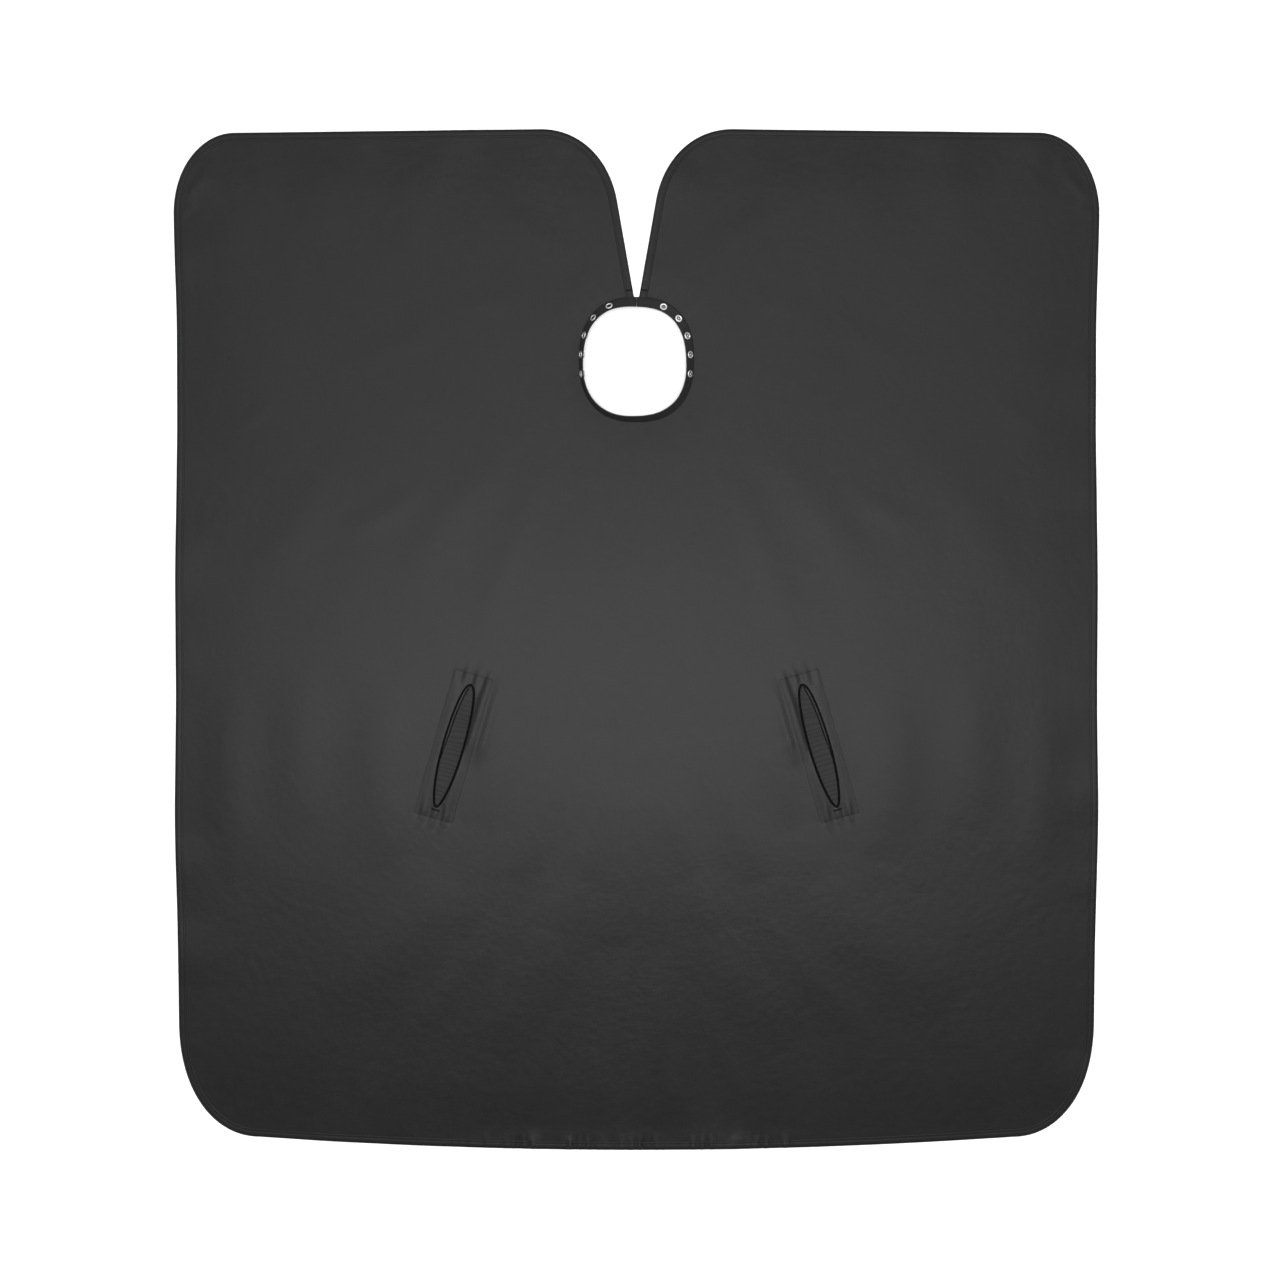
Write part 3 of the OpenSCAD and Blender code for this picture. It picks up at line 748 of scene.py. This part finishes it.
# %% Scatter and join the points
def crossings(loops, y):
    """Where a level line crosses closed loops, in order."""
    xs = []
    for loop in loops:
        a, b = loop, np.roll(loop, -1, axis=0)
        hit = (a[:, 1] > y) != (b[:, 1] > y)
        t = (y - a[hit, 1]) / (b[hit, 1] - a[hit, 1])
        xs.append(a[hit, 0] + t * (b[hit, 0] - a[hit, 0]))
    return np.sort(np.concatenate(xs))


def scatter(loops, step):
    """Even points inside the first loop and outside the others."""
    out = []
    low, high = loops[0].min(axis=0), loops[0].max(axis=0)
    for row, y in enumerate(np.arange(low[1], high[1], step * 0.866)):
        x = np.arange(low[0] + (row % 2) * step / 2, high[0], step)
        x = x[np.searchsorted(crossings(loops, y + 1e-7), x) % 2 == 1]
        out.append(np.stack([x, np.full(len(x), y)], axis=1))
    return np.vstack(out)


def nearest(points, marks):
    """Distance from each point to the nearest mark."""
    tree = flat_tree(marks)
    return np.array([tree.find((u, v, 0))[2] for u, v in points.tolist()])

# %% Edges, slits and fold line that the cloth must follow
SHELL_INSET, FINEST, FINE, COARSE = 5 * MM, 1.8 * MM, 3 * MM, 6.5 * MM
inset = outline - path_inward(outline) * SHELL_INSET
on_fold = np.abs(outline[:, 1] - FOLD_Y) < 1e-9
inset[on_fold, 1] = FOLD_Y
foot_t = np.arange(math.radians(96), math.radians(444), 2.5 * MM / NECK_RY)
neck_edge = band_points(foot_t, BAND_T, 0.0)[:, :2]
for k in range(len(neck_edge) - 1):  # moves the nearest point of the neck edge onto the fold line
    if (neck_edge[k, 1] - FOLD_Y) * (neck_edge[k + 1, 1] - FOLD_Y) < 0:
        t = (FOLD_Y - neck_edge[k, 1]) / (neck_edge[k + 1, 1] - neck_edge[k, 1])
        neck_edge[k] = neck_edge[k] + t * (neck_edge[k + 1] - neck_edge[k])
        neck_edge[k, 1] = FOLD_Y
slit_loops = [slit_place(leaf(1.5 * MM), side) for side in (1, -1)]
loops = [np.vstack([inset, neck_edge]), *slit_loops]
fold_lines = []
for side in (-1, 1):
    ends = [p for p in np.vstack([inset[on_fold], neck_edge[neck_edge[:, 1] == FOLD_Y]]) if p[0] * side > 0]
    a, b = sorted(ends, key=lambda p: p[0])
    fold_lines.append(even(np.array([a, b]), FINE))

# %% Points, closer together where the cloth puckers
marks = np.vstack(loops + fold_lines)
fine = scatter(loops, FINE)
x, y = fine[:, 0], fine[:, 1]
maybe = (np.abs(x) > HALF_W - 0.16) | (np.abs(y) > HALF_L - 0.22)
maybe |= (np.abs(x) < 0.12) & (y > NECK_Y - 0.16)
across, along = to_slit(x, y)
maybe |= (np.abs(across) < 0.06) & (np.abs(along) < 0.13)
fine = fine[maybe]
near_edge = nearest(fine, np.vstack(loops))
finest = scatter(loops, FINEST)
finest = finest[(finest[:, 1] < 0.055 - HALF_L) & (np.abs(finest[:, 0]) < 0.29)]
finest = finest[nearest(finest, inset) > 0.6 * FINEST]
across, along = to_slit(fine[:, 0], fine[:, 1])
keep = (near_edge < 34 * MM) | ((np.abs(across) < 0.045) & (np.abs(along) < 0.12))
fine = fine[keep]
coarse = scatter(loops, COARSE)
coarse = coarse[nearest(coarse, np.vstack([marks, fine, finest])) > 0.72 * COARSE]
fine = fine[nearest(fine, marks) > 0.6 * FINE]
fine = fine[nearest(fine, finest) > 0.7 * FINE]
print("points scattered:", len(finest), "finest,", len(fine), "fine,", len(coarse), "coarse")

# %% Triangulate
points2 = [Vector(p) for p in np.vstack([finest, fine, coarse])]
joins = []
for ring in loops:
    first = len(points2)
    points2 += [Vector(p) for p in ring]
    joins += [(first + i, first + (i + 1) % len(ring)) for i in range(len(ring))]
for line in fold_lines:
    first = len(points2)
    points2 += [Vector(p) for p in line]
    joins += [(first + i, first + i + 1) for i in range(len(line) - 1)]
flat_points, _, triangles, *_ = delaunay_2d_cdt(points2, joins, [], 0, 1e-7, False)
flat_points = np.array([tuple(p) for p in flat_points])
triangles = np.array(triangles)
centres = flat_points[triangles].mean(axis=1)


def within(points, loops):
    """True where a point lies inside the first loop and outside the others."""
    out = []
    for part in np.array_split(points, max(1, len(points) // 1500)):
        odd = np.zeros(len(part), bool)
        for loop in loops:
            a, b = loop, np.roll(loop, -1, axis=0)
            step = np.where(b[:, 1] == a[:, 1], 1e-12, b[:, 1] - a[:, 1])
            over = (a[:, 1] > part[:, 1:2]) != (b[:, 1] > part[:, 1:2])
            x = a[:, 0] + (part[:, 1:2] - a[:, 1]) * (b[:, 0] - a[:, 0]) / step
            odd ^= (np.sum(over & (x > part[:, 0:1]), axis=1) % 2).astype(bool)
        out.append(odd)
    return np.concatenate(out)

# %% Keep what lies inside, and part it at the fold
triangles = triangles[within(centres, loops)]
centres = flat_points[triangles].mean(axis=1)
a, b, c = (flat_points[triangles[:, k]] for k in range(3))
b, c = b - a, c - a
area = 0.5 * (b[:, 0] * c[:, 1] - b[:, 1] * c[:, 0])
triangles[area < 0] = triangles[area < 0][:, ::-1]
draped = drape(np.hstack([flat_points, np.full((len(flat_points), 1), CLOTH_TOP - 0.05 * MM)]))
panels, panel_area = {}, {}
for name, mine in (("cape_front", centres[:, 1] < FOLD_Y),
                   ("cape_back_left", (centres[:, 1] > FOLD_Y) & (centres[:, 0] < 0)),
                   ("cape_back_right", (centres[:, 1] > FOLD_Y) & (centres[:, 0] > 0))):
    used, faces = np.unique(triangles[mine], return_inverse=True)
    faces = faces.reshape(-1, 3)
    uvs = flat_points[used][faces.ravel()]
    panels[name] = mesh_object(name, draped[used], faces.tolist(), uvs, cape_cloth)
    panel_area[name] = float(np.abs(area[mine]).sum())
print("cloth area, square metres:", {n: round(v, 4) for n, v in panel_area.items()})

# %% [markdown]
# ## The hem
# The raw edge is turned under twice and sewn down, which makes a flat tape about 11 mm wide with a
# rounded outer fold. Its section is drawn once, in distance from the edge and height, with a small
# valley where the thread pulls it tight, and swept round the outline. It is cut at the fold line
# like the cloth.

# %% Hem pieces
HEM_SECTION = np.array([
    (11, 1.15), (10.7, 1.36), (9.6, 1.46), (8.2, 1.34), (6.8, 1.5), (4.6, 1.6), (2.4, 1.62), (1.1, 1.5),
    (0.3, 1.15), (0, 0.75), (0.3, 0.3), (1, 0.08), (3, 0.05), (8, 0.05), (11, 0.15), (11.1, 0.6)]) * MM
STITCH_AT = 8.2 * MM


def section_rings(path, out, section):
    """Rings of a section (distance along out, height) at every point of a flat path."""
    flat = path[:, None] + out[:, None] * section[None, :, :1]
    return np.concatenate([flat, np.broadcast_to(section[None, :, 1:], flat.shape[:2] + (1,))], axis=-1)


hems = {}
for side, path in edges.items():
    b = Builder()
    b.sweep(section_rings(path, -path_inward(path), HEM_SECTION))
    hems[side] = b.make(f"{side}_hem", hem_cloth)

# %% [markdown]
# ## Stitches
# A sewing machine leaves an even row of short dashes. Each stitch is a small round thread that dives
# into the cloth at both ends. A row is a path on the flat cloth, and all rows that ride on one body
# become one object: the hem's row, the row round each guard and the rows on the neckband.

# %% Rows of stitches on the flat cloth
PITCH, STITCH, THREAD_R = 3.4 * MM, 2.6 * MM, 0.27 * MM
UP = np.array([0.0, 0.0, 1.0])
threads = {side: Builder() for side in edges}


def row_on_cloth(builder, path, height, pitch=PITCH, length=STITCH, radius=THREAD_R):
    """Stitches along a flat path, at one height above the flat cloth."""
    mid = even(path, pitch)
    mid = (mid[:-1] + mid[1:]) / 2
    along = np.roll(path_inward(mid), 1, axis=1) * [1, -1]
    wobble = rng.normal(0, 0.03, (len(mid), 1)) * length
    mid = mid + along * wobble
    z = np.full((len(mid), 1), height)
    builder.threads(np.hstack([mid - along * length / 2, z]), np.hstack([mid + along * length / 2, z]),
                    np.tile(UP, (len(mid), 1)), radius)


for side, path in edges.items():
    row_on_cloth(threads[side], path - path_inward(path) * STITCH_AT, 1.44 * MM)

guard_corners = np.array([(-1, -1), (1, -1), (1, 1), (-1, 1), (-1, -1)])
guard_corners = guard_corners * [GUARD_W / 2 - 2 * MM, GUARD_L / 2 - 2 * MM]
for side in (1, -1):
    for a, b in zip(guard_corners[:-1], guard_corners[1:]):
        size = THREAD_R if a[0] == b[0] else 0.42 * MM  # the short ends are sewn twice
        run = slit_place(even(np.array([a, b]), 2 * MM), side)
        row_on_cloth(threads["front"], run, 1.22 * MM, radius=size)
print("stitched rows:", {k: b.count // 24 for k, b in threads.items()})

# %% [markdown]
# ## The hand slits
# Each slit is a long leaf cut in the cloth, edged in narrow satin piping. A gathered guard is sewn
# underneath and shows through the opening. Its gathers are fine ripples running across the slit.

# %% Piping and guards
PIPING_SECTION = np.array([
    (-0.1, 1.25), (0.15, 1.62), (0.75, 1.86), (1.5, 1.95), (2.3, 1.86), (2.85, 1.6), (3.05, 1.25),
    (2.8, 1.0), (1.5, 0.95), (0.3, 1.0)]) * MM
FACING_SECTION = np.array([
    (-0.4, 1.5), (-0.2, 1.58), (0.1, 1.6), (0.9, 1.6), (1.0, 1.52), (1.0, 1.3), (-0.4, 1.2)]) * MM
turn = np.linspace(0, 2 * np.pi, 9)[:-1]
TAPE_EDGE = 0.5 * MM * np.stack([np.cos(turn), np.sin(turn)], axis=1) + [0, 1.25 * MM]
piping, guards, facings = {}, {}, {}
for side, word in ((1, "right"), (-1, "left")):
    base = leaf()
    out = -path_inward(base, closed=True)
    b = Builder()
    b.sweep(slit_place(section_rings(base, out, PIPING_SECTION), side), closed=True)
    # on the outer side of the back half the lip lifts, and the tape's other edge shows as a fine line
    shows = (base[:, 0] > 0.5 * MM) & (base[:, 1] > -20 * MM)
    edge, shift = base[shows], -out[shows]
    run, full = np.arange(len(edge)) * LEAF_STEP, len(edge) * LEAF_STEP
    away = smooth(run, 0, 40 * MM) * smooth(-run, -full, -full + 9 * MM)
    line = edge + shift * (0.2 + 2.5 * away[:, None]) * MM
    b.sweep(slit_place(section_rings(line, shift, TAPE_EDGE), side))
    facing = Builder()
    width = np.maximum(2.1 * away[:, None], 0.05)
    facing.sweep(slit_place(section_rings(edge, shift * width, FACING_SECTION), side))
    facings[word] = facing.make(f"{word}_slit_facing", cape_cloth)
    piping[word] = b.make(f"{word}_piping", satin_tape)

    across = np.linspace(-1, 1, 41) * GUARD_W / 2
    along = np.linspace(-1, 1, 420) * GUARD_L / 2
    v, u = np.meshgrid(along, across, indexing="ij")
    phase = v / (6.5 * MM) + 0.9 * wander(u.ravel() * 0.5, v.ravel(), 0.022, 4.4 + side).reshape(u.shape)
    uneven = 0.75 + 0.5 * wander(u.ravel(), v.ravel(), 0.03, 9.1).reshape(u.shape)
    ripple = np.sin(2 * np.pi * phase) * uneven
    calm = smooth(GUARD_W / 2 - np.abs(u), 0, 6 * MM) * smooth(GUARD_L / 2 - np.abs(v), 0, 8 * MM)
    top = (0.62 + 0.26 * ripple * (0.25 + 0.75 * calm)) * MM
    sheet_points = slit_place(np.stack([u, v, top], axis=-1), side).reshape(-1, 3)
    n_along, n_across = u.shape
    k = (np.arange(n_along - 1)[:, None] * n_across + np.arange(n_across - 1)).ravel()
    quads = np.stack([k, k + 1, k + n_across + 1, k + n_across], axis=1)
    b = Builder()
    b.add(sheet_points, quads, sheet_points[quads.ravel(), :2])
    guards[word] = b.make(f"{word}_guard", guard_cloth, puffed=False)

# %% [markdown]
# ## The neckband
# Two layers of cape cloth fold over a stiff interlining, so the cover's section is a long hairpin,
# closed at both ends of the band. It is swept round the neck at the slope worked out before. Thread
# runs along its top and its foot, and a box of stitches holds each end. The bend between front and
# back halves lies in the cloth itself, so the band is cut just ahead of the fold line.

# %% The band's section and how it lies
def hairpin(wall):
    """Section of the cover as (through, up) pairs; wall is the cloth's thickness."""
    turn = np.linspace(0, np.pi, 9)
    r = BAND_T / 2
    top = BAND_H - r
    outer = [(0, q * MM) for q in (0, 1.2, 2.2, 3.4, 6, 9, 12)]
    outer += [(r - r * math.cos(a), top + r * math.sin(a)) for a in turn]
    outer += [(BAND_T, q) for _, q in outer[6::-1]]
    inner_r = r - wall
    inner = [(BAND_T - wall, 0), (BAND_T - wall, 6 * MM)]
    inner += [(r + inner_r * math.cos(a), top + inner_r * math.sin(a)) for a in turn]
    inner += [(wall, 6 * MM), (wall, 0)]
    return np.array(outer + inner)


def band_run(a, b, step=1.5 * MM):
    t = np.linspace(a, b, 3000)
    s = np.concatenate([[0], np.cumsum(np.linalg.norm(np.diff(neck_point(t), axis=0), axis=1))])
    return np.interp(np.linspace(0, s[-1], round(s[-1] / step) + 1), s, t), s[-1]


def ease(p, q, s, loose):
    """Lets the band wander in and out, and up and down, along the part that no snap holds."""
    level = np.clip(q / BAND_H, 0, 1)
    wave = (0.35 * np.sin(s / (9 * MM)) + 0.3 * np.sin(s / (5.1 * MM) + 2)) * loose
    rise = 0.25 * np.sin(s / (17 * MM) + 1) * loose
    return p + wave[:, None] * MM * np.sin(np.pi * level) * 0.8, q + rise[:, None] * MM * level

# %% Sweep the covers and their interlinings
# angles round the neck, on the right, where the band is cut ahead of the fold and where it ends
t = np.linspace(-math.pi / 2, math.pi / 2, 4000)
split = np.interp(FOLD_Y - 10 * MM, neck_point(t)[:, 1], t)
t = np.linspace(0.9, math.pi / 2, 4000)
end = np.interp(-0.1 * MM, -neck_point(t)[:, 0], t)
runs = {"right": (split, end, True), "front": (math.pi - split, split + 2 * math.pi, False),
        "left": (math.pi - split, math.pi - end, True)}
section, solid = hairpin(0.5 * MM), hairpin(0.845 * MM)
felt = np.array([(0.56, 1.0), (0.56, 14.9), (0.7, 15.0), (1.0, 15.0), (1.14, 14.9), (1.14, 1.0)]) * MM
covers, interlinings = {}, {}
for word, (a, b, ends) in runs.items():
    t, length = band_run(a, b)
    s = np.linspace(0, length, len(t))
    p = np.tile(section[:, 0], (len(t), 1))
    q = np.tile(section[:, 1], (len(t), 1))
    if ends:  # the cover is folded shut over its last two millimetres
        shut = smooth(s, length - 2.6 * MM, length - 1.4 * MM)[:, None]
        p, q = p * (1 - shut) + solid[:, 0] * shut, q * (1 - shut) + solid[:, 1] * shut
    from_back = np.abs(np.degrees(t) % 360 - 90)
    from_back = np.minimum(from_back, 360 - from_back)
    loose = smooth(from_back, 118, 135)
    b = Builder()
    b.sweep(band_points(np.repeat(t[:, None], len(section), axis=1), *ease(p, q, s, loose)))
    covers[word] = b.make(f"{word}_band_cover", painted_light_band_cloth, draped=False)

    stop = int(np.searchsorted(s, length - 3.2 * MM)) if ends else len(t)
    p, q = (np.tile(felt[:, k], (stop, 1)) for k in (0, 1))
    b = Builder()
    b.sweep(band_points(np.repeat(t[:stop, None], len(felt), axis=1), *ease(p, q, s[:stop], loose[:stop])))
    interlinings[word] = b.make(f"{word}_interlining", interlining_felt, draped=False)

# %% Stitching on the band
BAND_THREAD_R = 0.22 * MM


def unit(vectors):
    return vectors / np.linalg.norm(vectors, axis=1, keepdims=True)


def row_on_band(builder, a, b, q, p=0.0, pitch=2.9 * MM):
    """Stitches round the band from angle a to b, q metres up it, on its outer or inner face."""
    t, length = band_run(a, b, pitch)
    t = (t[:-1] + t[1:]) / 2
    half_t = 1.05 * MM / NECK_RY
    q = np.full(len(t), q)
    face = -1.0 if p < BAND_T / 2 else 1.0
    p = np.full(len(t), p + face * 0.05 * MM)
    up = band_points(t, p + face * MM, q + 1e-9) - band_points(t, p, q)
    builder.threads(band_points(t - half_t, p, q), band_points(t + half_t, p, q), unit(up), BAND_THREAD_R)


band_threads = {side: Builder() for side in edges}
for word, (a, b, _) in runs.items():
    sign = np.sign(b - a)
    for q, p in ((14.3 * MM, 0.0), (2.1 * MM, 0.0), (14.3 * MM, BAND_T)):
        row_on_band(band_threads[word], a + sign * 0.01, b - sign * 0.035, q, p)

for word in ("left", "right"):  # a box of stitches holds each end of the band shut
    a, b, _ = runs[word]
    sign = np.sign(a - b)
    box_ends = [b + sign * reach * MM / NECK_RY for reach in (2.2, 21)]
    for q in (4.2 * MM, 12.4 * MM):
        row_on_band(band_threads[word], *sorted(box_ends), q)
    for t in box_ends:
        q = np.arange(4.6, 12.3, 2.2) * MM
        t, p = np.full(len(q), t), np.full(len(q), -0.05 * MM)
        up = band_points(t, 0 * q - MM, q + 1e-9) - band_points(t, 0 * q, q)
        band_threads[word].threads(band_points(t, p, q - 0.9 * MM), band_points(t, p, q + 0.9 * MM),
                                   unit(up), BAND_THREAD_R)

# %% Bar tacks
def bar_tack(name, node, angle, length, width, height):
    """A dense bar of thread wraps, in the place of its packed twin and turned by an angle."""
    low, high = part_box(node)
    c, s = math.cos(angle), math.sin(angle)
    n = round(length / (0.42 * MM))
    x = np.linspace(-length / 2, length / 2, n)
    z = np.full(n, height)
    lean = 0.16 * MM * np.where(np.arange(n) % 2, 1, -1)
    ends = []
    for way in (-1, 1):
        u, v = x + way * lean, np.full(n, way * width / 2)
        ends.append(np.stack([(low.x + high.x) / 2 + u * c - v * s,
                              (low.y + high.y) / 2 + u * s + v * c, z], axis=1))
    b = Builder()
    b.threads(*ends, np.tile(UP, (n, 1)), 0.26 * MM, 0.9)
    return b.make(name, thread)


tacks = {}
for side, word in ((1, "right"), (-1, "left")):
    tacks[f"{word}_slit"] = bar_tack(f"{word}_slit_tack", f"{word}_slit_bar_tack", side * SLIT_TILT,
                                     11.5 * MM, 2.2 * MM, 2.0 * MM)
    tacks[f"{word}_neck"] = bar_tack(f"{word}_neck_tack", f"{word}_neck_bar_tack", -side * BACK_ANGLE,
                                     7.8 * MM, 1.9 * MM, 2.1 * MM)

stitching = {side: b.make(f"{side}_stitching", thread) for side, b in threads.items()}
band_stitching = {}
for side, b in band_threads.items():
    band_stitching[side] = b.make(f"{side}_band_stitching", grey_thread, draped=False)

# %% [markdown]
# ## Riding on the bodies
# Front pieces ride on the front body. The back halves, their hems, bands and threads have their
# placing baked into their points and ride on no body. The soft pieces then replace their packed
# twins; the metal stays as it was packed and only takes a finish.

# %% Ride and replace
slit_pieces = [*piping.values(), *facings.values(), tacks["left_slit"], tacks["right_slit"]]
for obj in (panels["cape_front"], *slit_pieces, *guards.values()):
    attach(obj, "front")
for group in (hems, stitching, covers, interlinings, band_stitching):
    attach(group["front"], "front")
for side in ("left", "right"):
    for obj in (panels[f"cape_back_{side}"], hems[side], stitching[side], covers[side], interlinings[side],
                band_stitching[side], tacks[f"{side}_neck"]):
        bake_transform(obj)

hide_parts("front_panel")
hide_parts("front_edge_binding")
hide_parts("front_neckband_cover")
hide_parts("front_neckband_interlining")
for side in ("left", "right"):
    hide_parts(f"{side}_back_panel")
    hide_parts(f"{side}_back_edge_binding")
    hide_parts(f"{side}_neckband_cover")
    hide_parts(f"{side}_neckband_interlining")
    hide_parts(f"{side}_slit_piping")
    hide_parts(f"{side}_hand_guard")
    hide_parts(f"{side}_slit_bar_tack")
    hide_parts(f"{side}_neck_bar_tack")

for name, node in frame["nodes"].items():
    if "snap" not in name and "ring" not in name:
        continue
    if "stud" in name:
        low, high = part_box(name)
        # painted shade: each stud's head and groove are darkened
        finish = stud_material(name, (low + high) / 2)
    else:
        # painted shade: the sockets take the darkened nickel copy
        finish = spring_steel if "spring" in name else shaded_nickel if "socket" in name else nickel
    node.data.materials.clear()
    node.data.materials.append(finish)

# %% [markdown]
# ## Floor, light and camera
# The cape lies on a wide pale table. Two broad overhead lights hang near the middle and one towards
# the back, so the cloth's satin sheen is brightest inside and falls away towards the hem. Four soft
# corner lights fill the room, and the camera looks straight down.

# %% The table
floor_material, tree, shader = new_material("Pale table")
place = tree.nodes.new("ShaderNodeTexCoord").outputs["Object"]
cloudy = noise_value(tree, place, 3.0, 2.0)
tree.links.new(mix_colours(tree, cloudy, (0.93, 0.93, 0.93), (0.96, 0.96, 0.96)), shader.inputs["Base Color"])
shader.inputs["Roughness"].default_value = 0.9
shader.inputs["Specular IOR Level"].default_value = 0.1
FLOOR = 30  # half the table's size in metres, far more than the straight-down view takes in
floor_mesh = bpy.data.meshes.new("table_top")
floor_mesh.from_pydata(
    [(-FLOOR, -FLOOR, 0), (FLOOR, -FLOOR, 0), (FLOOR, FLOOR, 0), (-FLOOR, FLOOR, 0)], [], [(0, 1, 2, 3)])
floor_mesh.materials.append(floor_material)
floor = bpy.data.objects.new("table_top", floor_mesh)
bpy.context.scene.collection.objects.link(floor)

# %% Each sheet's size and the pieces lying on it, worked out and not used
for name, body in (("cape_front", "front"), ("cape_back_left", "left"), ("cape_back_right", "right")):
    width = 2 * HALF_W if name == "cape_front" else HALF_W
    length = HALF_L + FOLD_Y if name == "cape_front" else HALF_L - FOLD_Y
    extra = [hems[body], stitching[body]]
    if body == "front":
        extra += slit_pieces

# %% Lights and the view
scene = bpy.context.scene
world = bpy.data.worlds.new("Soft room")
world.use_nodes = True
world.node_tree.nodes["Background"].inputs["Color"].default_value = (1, 1, 1, 1)
world.node_tree.nodes["Background"].inputs["Strength"].default_value = 0.25
scene.world = world


def area_light(name, place, aim, size, power):
    light = bpy.data.lights.new(name, "AREA")
    light.shape, light.size, light.size_y, light.energy = "RECTANGLE", *size, power
    obj = bpy.data.objects.new(name, light)
    obj.location = place
    obj.rotation_euler = (Vector(aim) - Vector(place)).to_track_quat("-Z", "Y").to_euler()
    scene.collection.objects.link(obj)


area_light("Overhead light, wide", (0.0, -0.17, 4.6), (0, -0.08, 0), (3.2, 1.0), 48)
area_light("Overhead light, middle", (0.0, -0.17, 4.55), (0, -0.08, 0), (2.0, 0.6), 37)
area_light("Overhead light, back", (0.0, 1.1, 4.5), (0, 0.3, 0), (3.0, 0.9), 44)
for i, (x, y) in enumerate(((-1, -1), (1, -1), (1, 1), (-1, 1))):
    area_light(f"Corner light {i + 1}", (2.6 * x, 2.2 * y, 2.8), (0, 0, 0), (1.6, 1.6), 60)

FOCAL, SENSOR, VIEW_W = 85, 36, 1.756  # lens and sensor in millimetres, and the width in view in metres
lens = bpy.data.cameras.new("Straight down")
lens.lens, lens.sensor_width = FOCAL, SENSOR
camera = bpy.data.objects.new("Straight down", lens)
camera.location = (0.0048, -0.0007, VIEW_W / SENSOR * FOCAL)
scene.collection.objects.link(camera)
scene.camera = camera
scene.view_settings.view_transform = "Standard"
